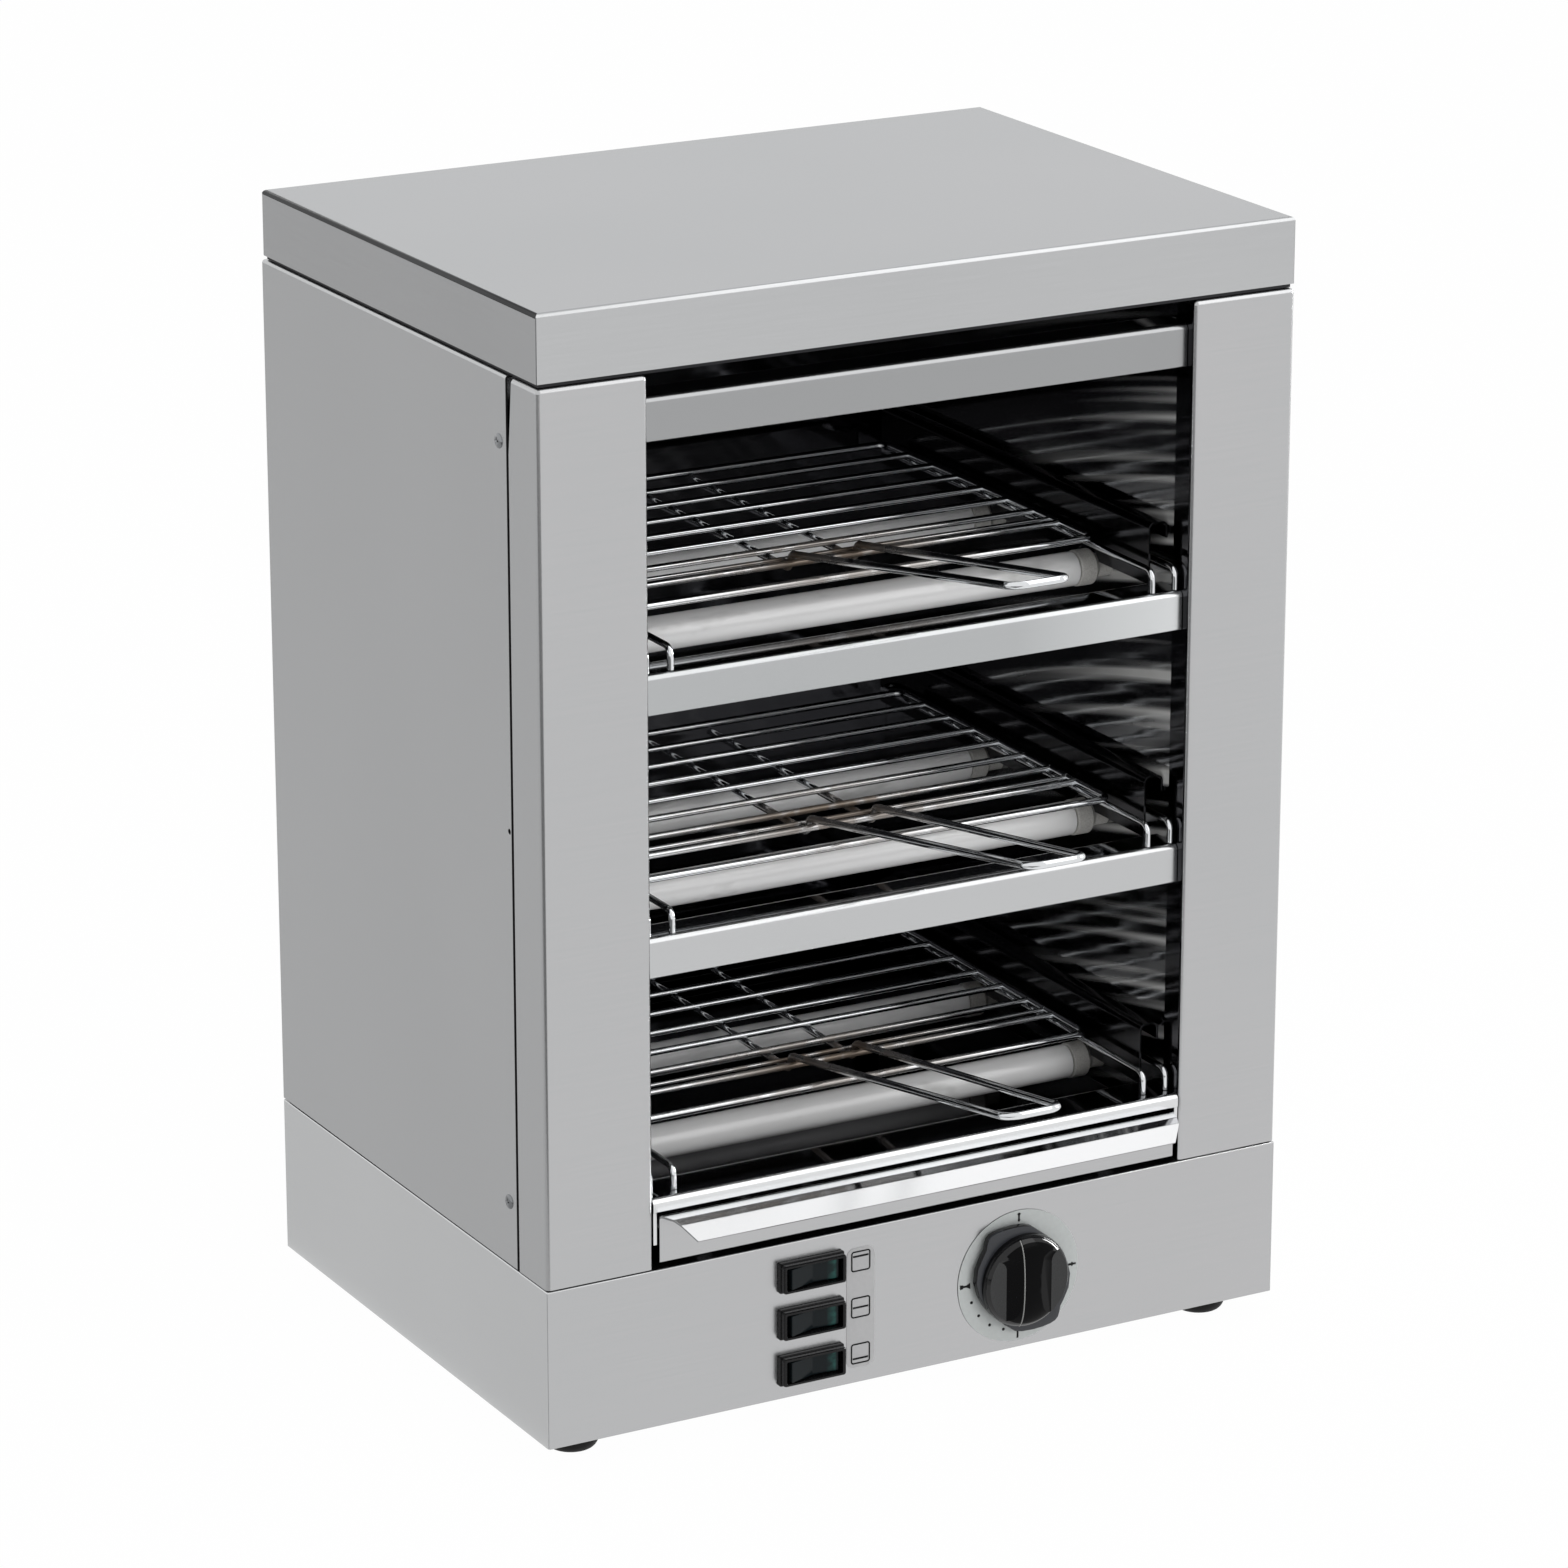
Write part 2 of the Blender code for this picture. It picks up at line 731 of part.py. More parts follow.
def build_rails():
    """The three rails between the columns, and the low sill over the tray slot."""
    places = (
        ("upper_front_rail", TOP_RAIL_TOP, TOP_RAIL_HEIGHT),
        ("middle_front_rail", rail_top("upper"), RAIL_HEIGHT),
        ("lower_front_rail", rail_top("middle"), RAIL_HEIGHT),
        ("front_sill", rail_top("lower"), SILL_HEIGHT),
    )
    for name, top, height in places:
        outline = [
            (RAIL_FRONT + RAIL_LOWER_FLANGE, top - height),
            (RAIL_FRONT, top - height),
            (RAIL_FRONT, top),
            (RAIL_FRONT + RAIL_FLANGE_DEPTH, top),
            (RAIL_FRONT + RAIL_FLANGE_DEPTH, top - RAIL_LIP),
        ]
        bent_sheet(
            name,
            rounded(outline, RAIL_BEND),
            (OPENING_HALF - SEAT) * 2,
            STEEL,
            turn=ACROSS_X,
        )


def build_runner(level, side_name, side):
    """One level's runner on one side: a folded side plate, and a hairpin of wire that stands on the rail."""
    base = rail_top(level)
    front = RAIL_FRONT + RUNNER_FRONT_SETBACK
    rear = REAR_INNER - RUNNER_REAR_GAP
    outer_x = RUNNER_PLATE_X + RUNNER_LEDGE_WIDTH
    outline = [
        (side * RUNNER_PLATE_X, base + SEAT),
        (side * RUNNER_PLATE_X, base + RUNNER_PLATE_RISE),
        (side * outer_x, base + RUNNER_PLATE_RISE),
        (side * outer_x, base + RUNNER_PLATE_RISE - RUNNER_OUTER_FLANGE),
    ]
    runner = bent_sheet(
        f"{level}_{side_name}_runner",
        rounded(outline, RAIL_BEND),
        rear - front,
        POLISHED,
        side=-side,
        location=(0, (front + rear) / 2, 0),
        turn=ACROSS_Y,
    )
    for tube_name, depth in tube_places():
        cut(
            runner,
            cylinder(
                f"{level}_{side_name}_{tube_name}_notch",
                CAP_RADIUS + TUBE_NOTCH_CLEARANCE,
                RUNNER_LEDGE_WIDTH,
                CAP_STEPS,
                location=(side * RUNNER_PLATE_X, depth, tube_height(level)),
                turn=TO_RIGHT,
                helper=True,
            ),
        )
    inner_leg = side * GRID_HALF_WIDTH
    outer_leg = side * (GRID_HALF_WIDTH + GUIDE_WIRE_SPACING)
    foot_y = RAIL_FRONT + GUIDE_FOOT_SETBACK
    foot_z = base + SEAT
    height = base + GUIDE_WIRE_RISE
    turn_y = rear - GUIDE_REAR_INSET - GUIDE_WIRE_SPACING / 2
    front_part = [(foot_y, foot_z), (foot_y, height), (turn_y, height)]
    front_part = rounded(front_part, GUIDE_WIRE_BEND)[:-1]
    path = [Vector((inner_leg, *point)) for point in front_part]
    for step in range(BEND_STEPS * 2 + 1):
        angle = math.pi * step / (BEND_STEPS * 2)
        path.append(
            Vector(
                (
                    (inner_leg + outer_leg) / 2 - side * GUIDE_WIRE_SPACING / 2 * math.cos(angle),
                    turn_y + GUIDE_WIRE_SPACING / 2 * math.sin(angle),
                    height,
                )
            )
        )
    path += [Vector((outer_leg, *point)) for point in reversed(front_part)]
    join(runner, wire(f"{level}_{side_name}_guide_wire", path, GUIDE_WIRE_RADIUS, helper=True))


def grid_height(level):
    """Height of a grid's wires, which lie on the guide wires."""
    return rail_top(level) + GUIDE_WIRE_RISE + GUIDE_WIRE_RADIUS + SEAT + GRID_WIRE_RADIUS


def build_grid(level):
    """One bread grid, its origin at the frame's middle: the frame wire and the cross wires welded to it."""
    depth = GRID_FIRST_WIRE + GRID_WIRE_COUNT * GRID_WIRE_PITCH
    slide = joint_origin(
        f"{level}_grid_slide",
        (0, FRONT + GRID_SETBACK + depth / 2 - DRAWN_FORWARD[level], grid_height(level)),
    )
    corners = [
        (-GRID_HALF_WIDTH, -depth / 2, 0),
        (GRID_HALF_WIDTH, -depth / 2, 0),
        (GRID_HALF_WIDTH, depth / 2, 0),
        (-GRID_HALF_WIDTH, depth / 2, 0),
    ]
    grid = wire(
        f"{level}_bread_grid",
        rounded(corners, GRID_CORNER_RADIUS, closed=True),
        GRID_WIRE_RADIUS,
        CHROME,
        closed=True,
        parent=slide,
    )
    first = -depth / 2 + GRID_FIRST_WIRE
    wires = [(first + step * GRID_WIRE_PITCH, GRID_CROSS_WIRE_RADIUS) for step in range(GRID_WIRE_COUNT)]
    wires.append((first + GRID_THIN_WIRE_SETBACK, GRID_THIN_WIRE_RADIUS))
    for number, (y, radius) in enumerate(wires):
        cross = wire(
            f"{level}_grid_cross_wire_{number + 1}",
            [(-GRID_HALF_WIDTH, y, 0), (GRID_HALF_WIDTH, y, 0)],
            radius,
            helper=True,
            parent=slide,
        )
        join(grid, cross)
    build_handle(level, slide, first, depth / 2)


def build_handle(level, slide, first, rear):
    """A U of wire: its tails lie under the cross wires, hook up over the first one and run forward and up."""
    turn = GRID_WIRE_RADIUS + HANDLE_WIRE_RADIUS + SEAT
    hook_start = first + GRID_THIN_WIRE_SETBACK
    steepest = math.asin(turn * 2 / GRID_THIN_WIRE_SETBACK)
    leg = [(rear, -turn)]
    for step in range(BEND_STEPS + 1):
        heading = steepest * step / BEND_STEPS
        leg.append((hook_start - turn * math.sin(heading), -turn * math.cos(heading)))
    for step in range(BEND_STEPS + 1):
        heading = steepest + (HANDLE_SLOPE - steepest) * step / BEND_STEPS
        leg.append((first + turn * math.sin(heading), turn * math.cos(heading)))
    root = leg.pop()
    end_y = root[0] - HANDLE_REACH
    end_z = root[1] + HANDLE_REACH * math.tan(HANDLE_SLOPE)
    loop = rounded(
        [
            (-HANDLE_ROOT_X, *root),
            (-HANDLE_END_X, end_y, end_z),
            (HANDLE_END_X, end_y, end_z),
            (HANDLE_ROOT_X, *root),
        ],
        HANDLE_CORNER_RADIUS,
    )
    path = [(-HANDLE_ROOT_X, y, z) for y, z in leg]
    path += loop
    path += [(HANDLE_ROOT_X, y, z) for y, z in reversed(leg)]
    wire(f"{level}_grid_handle", path, HANDLE_WIRE_RADIUS, CHROME, parent=slide)


def build_heaters(level):
    """The two quartz tubes under a grid, and the ceramic cap at each end, which goes through the liner."""
    cap_ends = (
        (0, 0),
        (CAP_RADIUS - CAP_CHAMFER, 0),
        (CAP_RADIUS, -CAP_CHAMFER),
        (CAP_RADIUS, -CAP_COLLAR_LENGTH),
        (CAP_NECK_RADIUS, -CAP_COLLAR_LENGTH - CAP_CONE_LENGTH),
        (CAP_NECK_RADIUS, -CAP_COLLAR_LENGTH - CAP_CONE_LENGTH - CAP_NECK_LENGTH),
        (0, -CAP_COLLAR_LENGTH - CAP_CONE_LENGTH - CAP_NECK_LENGTH),
    )
    for tube_name, depth in tube_places():
        height = tube_height(level)
        cylinder(
            f"{level}_{tube_name}_heater_tube",
            TUBE_RADIUS,
            TUBE_HALF_LENGTH * 2,
            TUBE_STEPS,
            QUARTZ,
            location=(0, depth, height),
            turn=TO_RIGHT,
        )
        for side_name, side in SIDES:
            turned(
                f"{level}_{tube_name}_{side_name}_cap",
                cap_ends,
                CAP_STEPS,
                CERAMIC,
                location=(side * (TUBE_HALF_LENGTH + SEAT), depth, height),
                turn=(0, math.radians(-90 * side), 0),
            )


def build_tray():
    """The crumb tray: a bent sheet with welded sides, a front flange and a pull lip."""
    bottom = BASE_TOP + TRAY_RISE
    half = OPENING_HALF - TRAY_SIDE_GAP
    rear = REAR_INNER - TRAY_REAR_GAP
    front_top = bottom + TRAY_FRONT_HEIGHT
    wall_top = bottom + TRAY_WALL_HEIGHT
    flange_y = FRONT - TRAY_FLANGE_DEPTH
    lip_y = flange_y - TRAY_LIP_FORWARD
    slide = joint_origin("tray_slide", (0, FRONT, bottom))
    outline = [
        (rear, wall_top),
        (rear, bottom),
        (FRONT, bottom),
        (FRONT, front_top),
        (flange_y, front_top),
        (lip_y, front_top - TRAY_LIP_DROP),
    ]
    outline = [(y - FRONT, z - bottom) for y, z in outline]
    tray = bent_sheet(
        "crumb_tray",
        rounded(outline, TRAY_BEND),
        half * 2,
        STEEL,
        turn=ACROSS_X,
        parent=slide,
    )
    for side_name, side in SIDES:
        low_x, high_x = sorted((side * (half - SHEET), side * half))
        wall = block(
            f"tray_wall_{side_name}",
            (low_x, SHEET / 2, SHEET / 2),
            (high_x, rear - FRONT - SHEET / 2, TRAY_WALL_HEIGHT),
            helper=True,
            parent=slide,
        )
        join(tray, wall)
        corner = [
            (half, 0),
            (half - TRAY_FLANGE_TAPER, -TRAY_FLANGE_DEPTH),
            (half - TRAY_FLANGE_TAPER - TRAY_LIP_TAPER, -TRAY_FLANGE_DEPTH - TRAY_LIP_FORWARD),
            (half - TRAY_FLANGE_TAPER - TRAY_LIP_TAPER, -TRAY_FLANGE_DEPTH - TRAY_LIP_FORWARD - OVERRUN),
            (half + OVERRUN, -TRAY_FLANGE_DEPTH - TRAY_LIP_FORWARD - OVERRUN),
            (half + OVERRUN, 0),
        ]
        shape = bmesh.new()
        face = shape.faces.new([shape.verts.new((side * x, y, 0)) for x, y in corner])
        raised = bmesh.ops.extrude_face_region(shape, geom=[face])["geom"]
        tips = [item for item in raised if isinstance(item, bmesh.types.BMVert)]
        bmesh.ops.translate(shape, vec=(0, 0, TRAY_FRONT_HEIGHT + OVERRUN), verts=tips)
        bmesh.ops.recalc_face_normals(shape, faces=shape.faces)
        mesh = bpy.data.meshes.new(f"lip_end_{side_name}")
        shape.to_mesh(mesh)
        shape.free()
        cut(tray, place(f"lip_end_{side_name}", mesh, None, helper=True, parent=slide))


def build_switch(number, middle):
    """One rocker switch: a body with a raised rim round its well, and the rocker on its pivot."""
    face = FRONT - SEAT
    rim_front = face - BEZEL_RIM_DEPTH
    body = block(
        f"switch_body_{number}",
        (SWITCH_X - BEZEL_WIDTH / 2, face - BEZEL_FLANGE, middle - BEZEL_HEIGHT / 2),
        (SWITCH_X + BEZEL_WIDTH / 2, face, middle + BEZEL_HEIGHT / 2),
        BLACK,
    )
    rim_half_x = BEZEL_WIDTH / 2 - BEZEL_RIM_INSET
    rim_half_z = BEZEL_HEIGHT / 2 - BEZEL_RIM_INSET
    rim = block(
        f"switch_rim_{number}",
        (SWITCH_X - rim_half_x, rim_front, middle - rim_half_z),
        (SWITCH_X + rim_half_x, face - BEZEL_FLANGE / 2, middle + rim_half_z),
        helper=True,
    )
    soften(rim, BEZEL_CORNER)
    join(body, rim)
    housing = block(
        f"switch_housing_{number}",
        (SWITCH_X - SWITCH_BODY_WIDTH / 2, face - BEZEL_FLANGE / 2, middle - SWITCH_BODY_HEIGHT / 2),
        (SWITCH_X + SWITCH_BODY_WIDTH / 2, face + SWITCH_BODY_DEPTH, middle + SWITCH_BODY_HEIGHT / 2),
        helper=True,
    )
    join(body, housing)
    for tab in range(-1, 2):
        tab_x = SWITCH_X + tab * SWITCH_TERMINAL_SPACING
        join(
            body,
            block(
                f"switch_tab_{number}_{tab + 2}",
                (
                    tab_x - SWITCH_TERMINAL_THICKNESS / 2,
                    face + SWITCH_BODY_DEPTH - SWITCH_TERMINAL_THICKNESS,
                    middle - SWITCH_TERMINAL_WIDTH / 2,
                ),
                (
                    tab_x + SWITCH_TERMINAL_THICKNESS / 2,
                    face + SWITCH_BODY_DEPTH + SWITCH_TERMINAL_LENGTH,
                    middle + SWITCH_TERMINAL_WIDTH / 2,
                ),
                helper=True,
            ),
        )
    well_half_x = rim_half_x - BEZEL_WALL
    well_half_z = rim_half_z - BEZEL_WALL
    cut(
        body,
        block(
            f"switch_well_{number}",
            (SWITCH_X - well_half_x, rim_front - OVERRUN, middle - well_half_z),
            (SWITCH_X + well_half_x, face + SWITCH_WELL_DEPTH, middle + well_half_z),
            helper=True,
        ),
    )
    pivot = joint_origin(f"rocker_pivot_{number}", (SWITCH_X, face, middle))
    half = well_half_x - ROCKER_END_CLEARANCE
    tip = -(BEZEL_RIM_DEPTH - ROCKER_TIP_DEPTH)
    waist = -(BEZEL_RIM_DEPTH - ROCKER_TIP_DEPTH - ROCKER_WAIST_DEPTH)
    back = tip + ROCKER_THICKNESS
    pivot_half = ROCKER_PIVOT_WIDTH / 2
    pivot_back = SWITCH_WELL_DEPTH - SEAT
    outline = [
        (-half, tip),
        (0, waist),
        (half, tip),
        (half, back),
        (pivot_half, pivot_back),
        (-pivot_half, pivot_back),
        (-half, back),
    ]
    shape = bmesh.new()
    height = (well_half_z - ROCKER_SIDE_CLEARANCE) * 2
    face_loop = shape.faces.new([shape.verts.new((x, y, -height / 2)) for x, y in outline])
    raised = bmesh.ops.extrude_face_region(shape, geom=[face_loop])["geom"]
    tips = [item for item in raised if isinstance(item, bmesh.types.BMVert)]
    bmesh.ops.translate(shape, vec=(0, 0, height), verts=tips)
    bmesh.ops.recalc_face_normals(shape, faces=shape.faces)
    mesh = bpy.data.meshes.new(f"rocker_{number}")
    shape.to_mesh(mesh)
    shape.free()
    place(f"rocker_{number}", mesh, LENS, turn=(0, 0, ROCKER_TILT), parent=pivot)


def build_timer():
    """The timer body behind the panel, the dial plate in front of it, and the knob with its shaft."""
    inner = FRONT + SHEET + SEAT
    timer = block(
        "timer_body",
        (DIAL_X - TIMER_WIDTH / 2, inner, DIAL_Z - TIMER_HEIGHT / 2),
        (DIAL_X + TIMER_WIDTH / 2, inner + TIMER_DEPTH, DIAL_Z + TIMER_HEIGHT / 2),
        BLACK,
    )
    bush_end = inner + SHEET
    join(
        timer,
        cylinder(
            "timer_bush",
            TIMER_BUSH_RADIUS,
            bush_end - FRONT,
            CAP_STEPS,
            location=(DIAL_X, (bush_end + FRONT) / 2, DIAL_Z),
            turn=TO_FRONT,
            helper=True,
        ),
    )
    cut(
        timer,
        cylinder(
            "timer_bore",
            SHAFT_RADIUS + SHAFT_BORE_CLEARANCE,
            SHAFT_LENGTH * 2 + OVERRUN,
            CAP_STEPS,
            location=(DIAL_X, FRONT, DIAL_Z),
            turn=TO_FRONT,
            helper=True,
        ),
    )
    dial_back = FRONT - SEAT
    dial = cylinder(
        "dial_plate",
        DIAL_RADIUS,
        DIAL_THICKNESS,
        ROUND_STEPS,
        DIAL_GREY,
        location=(DIAL_X, dial_back - DIAL_THICKNESS / 2, DIAL_Z),
        turn=TO_FRONT,
    )
    cut(
        dial,
        cylinder(
            "dial_hole",
            SHAFT_RADIUS + DIAL_HOLE_CLEARANCE,
            OVERRUN * 2,
            CAP_STEPS,
            location=(DIAL_X, FRONT, DIAL_Z),
            turn=TO_FRONT,
            helper=True,
        ),
    )
    knob_back = dial_back - DIAL_THICKNESS - KNOB_GAP
    spindle = joint_origin("timer_spindle", (DIAL_X, knob_back, DIAL_Z))
    profile = [
        (0, KNOB_BODY_DEPTH),
        (KNOB_FACE_RADIUS - KNOB_ROUNDING, KNOB_BODY_DEPTH),
        (KNOB_FACE_RADIUS, KNOB_BODY_DEPTH - KNOB_ROUNDING),
        (KNOB_BODY_RADIUS, KNOB_SKIRT_DEPTH),
        (KNOB_SKIRT_RADIUS - KNOB_ROUNDING, KNOB_SKIRT_DEPTH - KNOB_ROUNDING / 2),
        (KNOB_SKIRT_RADIUS, KNOB_SKIRT_DEPTH - KNOB_ROUNDING),
        (KNOB_SKIRT_RADIUS, 0),
        (SHAFT_RADIUS, 0),
        (SHAFT_RADIUS, -SHAFT_LENGTH),
        (0, -SHAFT_LENGTH),
    ]
    knob = turned("timer_knob", profile, ROUND_STEPS, BLACK, turn=TO_FRONT, parent=spindle)
    grip = block(
        "knob_grip",
        (-GRIP_WIDTH / 2, -GRIP_DEPTH, -KNOB_FACE_RADIUS * 2),
        (GRIP_WIDTH / 2, -KNOB_BODY_DEPTH + KNOB_ROUNDING, KNOB_FACE_RADIUS * 2),
        helper=True,
        parent=spindle,
    )
    boolean(
        grip,
        cylinder(
            "knob_grip_ends",
            KNOB_FACE_RADIUS - KNOB_ROUNDING / 2,
            GRIP_DEPTH * 3,
            ROUND_STEPS,
            turn=TO_FRONT,
            helper=True,
            parent=spindle,
        ),
        "INTERSECT",
    )
    soften(grip, GRIP_ROUNDING, steps=2)
    join(knob, grip)


def build_gland():
    """The cable gland in the base's rear: flange and dome outside, thread and nut inside, bored through."""
    outside = GLAND_FLANGE_DEPTH + GLAND_DOME_DEPTH
    inside = -SHEET - SEAT * 2
    profile = [
        (GLAND_BORE_RADIUS, outside),
        ((GLAND_BORE_RADIUS + GLAND_DOME_RADIUS) / 2, outside),
        (GLAND_DOME_RADIUS, outside - GLAND_DOME_TAPER),
        (GLAND_DOME_RADIUS, GLAND_FLANGE_DEPTH),
        (GLAND_FLANGE_RADIUS, GLAND_FLANGE_DEPTH),
        (GLAND_FLANGE_RADIUS, 0),
        (GLAND_THREAD_RADIUS, 0),
        (GLAND_THREAD_RADIUS, inside),
        (GLAND_NUT_RADIUS, inside),
        (GLAND_NUT_RADIUS, inside - GLAND_NUT_DEPTH),
        (GLAND_THREAD_RADIUS, inside - GLAND_NUT_DEPTH),
        (GLAND_THREAD_RADIUS, -GLAND_THREAD_LENGTH),
        (GLAND_BORE_RADIUS, -GLAND_THREAD_LENGTH),
    ]
    turned(
        "cable_gland",
        profile,
        CAP_STEPS,
        BLACK,
        location=(GLAND_X, BACK + SEAT, GLAND_Z),
        turn=TO_BACK,
    )


clear_scene()
PARTS = collection("commercial_toaster")
CUTTERS = collection("cutters")
STEEL = material("brushed_stainless", "C2C4C6", 0.34, metallic=1.0)
POLISHED = material("polished_stainless", "B4B6B8", 0.12, metallic=1.0)
CHROME = material("chromed_wire", "D4D6D8", 0.10, metallic=1.0)
QUARTZ = material("milky_quartz", "D8D8D2", 0.35, transmission=0.3)
CERAMIC = material("white_ceramic", "C9C6BC", 0.55)
BLACK = material("black_plastic", "0E0E10", 0.25)
LENS = material("smoky_green_lens", "182624", 0.15)
RUBBER = material("black_rubber", "101010", 0.7)
DIAL_GREY = material("printed_dial", "B9BCBC", 0.4)

build_base()
build_columns()
build_side_panels()
build_rear_panel()
build_top()
build_liners()
build_rails()
for level_name in LEVEL_NAMES:
    for name_of_side, sign in SIDES:
        build_runner(level_name, name_of_side, sign)
    build_grid(level_name)
    build_heaters(level_name)
build_tray()
for index in range(len(LEVEL_NAMES)):
    build_switch(index + 1, SWITCH_MIDDLE_Z + (1 - index) * SWITCH_PITCH)
build_timer()
build_gland()
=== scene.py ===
"""Looks of a three-tier commercial toaster: folded stainless sheet, chromed wire and milky quartz tubes.

Lengths are in metres, in the toaster's own frame: +Z up, +X to the user's right, and the front faces -Y.
"""

import math

import bmesh
import bpy
from mathutils import Matrix, Vector


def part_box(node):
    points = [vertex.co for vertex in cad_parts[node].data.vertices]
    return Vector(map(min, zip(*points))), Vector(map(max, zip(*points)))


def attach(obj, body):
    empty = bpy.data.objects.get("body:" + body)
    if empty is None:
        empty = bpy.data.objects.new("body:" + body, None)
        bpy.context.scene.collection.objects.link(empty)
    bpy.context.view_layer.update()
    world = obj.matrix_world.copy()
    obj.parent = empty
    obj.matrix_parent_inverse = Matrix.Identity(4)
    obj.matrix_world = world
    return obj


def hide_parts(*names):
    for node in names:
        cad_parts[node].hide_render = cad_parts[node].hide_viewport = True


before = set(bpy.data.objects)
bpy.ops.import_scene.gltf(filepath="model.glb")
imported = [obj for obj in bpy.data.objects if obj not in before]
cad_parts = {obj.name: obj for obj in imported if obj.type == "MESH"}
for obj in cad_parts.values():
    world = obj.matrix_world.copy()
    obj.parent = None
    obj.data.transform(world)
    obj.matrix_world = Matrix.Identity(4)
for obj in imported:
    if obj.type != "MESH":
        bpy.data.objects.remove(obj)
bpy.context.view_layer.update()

LEVELS = ("lower", "middle", "upper")
TUBES = ("front", "rear")
SIDES = (("left", -1), ("right", 1))
SWITCHES = (1, 2, 3)
CABINET = "cabinet"
TO_FRONT = Vector((0, -1, 0))
TO_BACK = Vector((0, 1, 0))


def low(node):
    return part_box(node)[0]


def high(node):
    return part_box(node)[1]


def middle(node):
    return (low(node) + high(node)) / 2


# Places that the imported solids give
HALF_WIDTH = high("right_side_panel").x
FRONT = low("left_front_column").y
BACK = high("rear_panel").y
BODY_BOTTOM = low("left_side_panel").z
BODY_TOP = high("left_side_panel").z
OPENING_HALF = low("right_front_column").x
RAIL_FRONT = low("upper_front_rail").y
RAIL_TOPS = {
    "lower": high("front_sill").z,
    "middle": high("lower_front_rail").z,
    "upper": high("middle_front_rail").z,
}

# Sheet work
SHEET = 0.001
SEAT = 0.0003
BASE_SEAM = 0.0005
BASE_TOP = BODY_BOTTOM - BASE_SEAM
COLUMN_BEND = 0.0023
PANEL_BEND = 0.0015
LID_BEND = 0.0021
BASE_BEND = 0.0010
RAIL_BEND = 0.0031
RAIL_LOWER_BEND = 0.0008
TRAY_BEND = 0.0012
BEND_STEPS = 6
CORNER_SLIT = 0.00045
CORNER_SLIT_DEPTH = 0.0007
RETURN_DEPTH = 0.014
SEAM_EXTRA = 0.0013
SEAM_WEDGE = 0.0034
SEAM_WEDGE_LENGTH = 0.034
PANEL_FLANGE = 0.012
PEG_HOLE_RADIUS = 0.0013
PEG_HOLE_SETBACK = 0.0035
PAN_LIP_OVERLAP = 0.004
PAN_LIP_FROM_SIDE = 0.014
RAIL_LOWER_FLANGE = 0.008
RAIL_LIP = 0.004
SILL_LEG_WIDTH = 0.0018
SILL_LEG_DROP = 0.015
SILL_SETBACK = 0.0005
SILL_DROP = 0.0006
SWITCH_CUTOUT_HALF = Vector((0.0149, 0.004, 0.00665))
SPINDLE_HOLE_RADIUS = 0.0060
GLAND_HOLE_RADIUS = 0.0083
BASE_DRILL = 0.008
PEG_DRILL = 0.006
NOTCH_DRILL = 0.012
BEAD_X = 0.105
BEAD_HALF_WIDTH = 0.004
BEAD_FROM_END = 0.012
TRAY_FLANGE_REACH = 0.0115
TRAY_LIP_REACH = 0.0170
TRAY_FLANGE_HEIGHT = 0.0218
TRAY_WALL_HEIGHT = 0.016
TRAY_FLANGE_TAPER = 0.0046
TRAY_LIP_TAPER = 0.0053

# Screws
PANEL_SCREW_SETBACK = 0.0085
PANEL_SCREW_FROM_END = 0.030
BACK_SCREW_X = 0.178
BACK_SCREW_FROM_TOP = 0.012
BACK_SCREW_FROM_BOTTOM = 0.020
BASE_SCREW_X = 0.120
BASE_SCREW_FROM_END = 0.012

# Wires, and the runners that the grids slide on
FRAME_WIRE = 0.00175
CROSS_WIRE = 0.0016
THIN_WIRE = 0.0011
FIRST_WIRE = 0.029
WIRE_PITCH = 0.023
CROSS_WIRE_COUNT = 7
THIN_WIRE_SETBACK = 0.008
GRID_CORNER = 0.006
WELD_NUGGET = 0.0019
GUIDE_WIRE = 0.0015
GUIDE_X = 0.1225
GUIDE_SPACING = 0.012
GUIDE_RISE = 0.0103
GUIDE_BEND = 0.004
GUIDE_FOOT_SETBACK = 0.003
GUIDE_REAR_INSET = 0.008
RUNNER_PLATE_X = 0.128
RUNNER_OUTER_X = 0.138
RUNNER_LIP = 0.008
RUNNER_SETBACK = 0.015
TUBE_NOTCH_RADIUS = 0.0104
HANDLE_WIRE = 0.00175
HANDLE_ROOT_X = 0.017
HANDLE_END_X = 0.014
HANDLE_REACH = 0.1855
HANDLE_SLOPE = math.radians(9.6)
HANDLE_CORNER = 0.007
HANDLE_TAIL = 0.012
HANDLE_SHARES = (0.1, 0.25, 0.5, 0.75)
WIRE_SIDES = 14


# Nodes

def srgb(code):
    """Linear colour from a hex code such as 'C0C2C4'."""
    shares = [int(code[i : i + 2], 16) / 255 for i in (0, 2, 4)]
    return tuple(s / 12.92 if s <= 0.04045 else ((s + 0.055) / 1.055) ** 2.4 for s in shares) + (1.0,)


def add(tree, kind, inputs=(), **settings):
    """Adds a node with its settings, and fills each named or numbered input with a value or a link."""
    made = tree.nodes.new(kind)
    for name, value in settings.items():
        setattr(made, name, value)
    for name, value in dict(inputs).items():
        if isinstance(value, bpy.types.NodeSocket):
            tree.links.new(value, made.inputs[name])
        else:
            made.inputs[name].default_value = value
    return made


def vector(tree, x=0.0, y=0.0, z=0.0):
    return add(tree, "ShaderNodeCombineXYZ", {0: x, 1: y, 2: z}).outputs[0]


def math_of(tree, operation, *values):
    return add(tree, "ShaderNodeMath", dict(enumerate(values)), operation=operation).outputs[0]


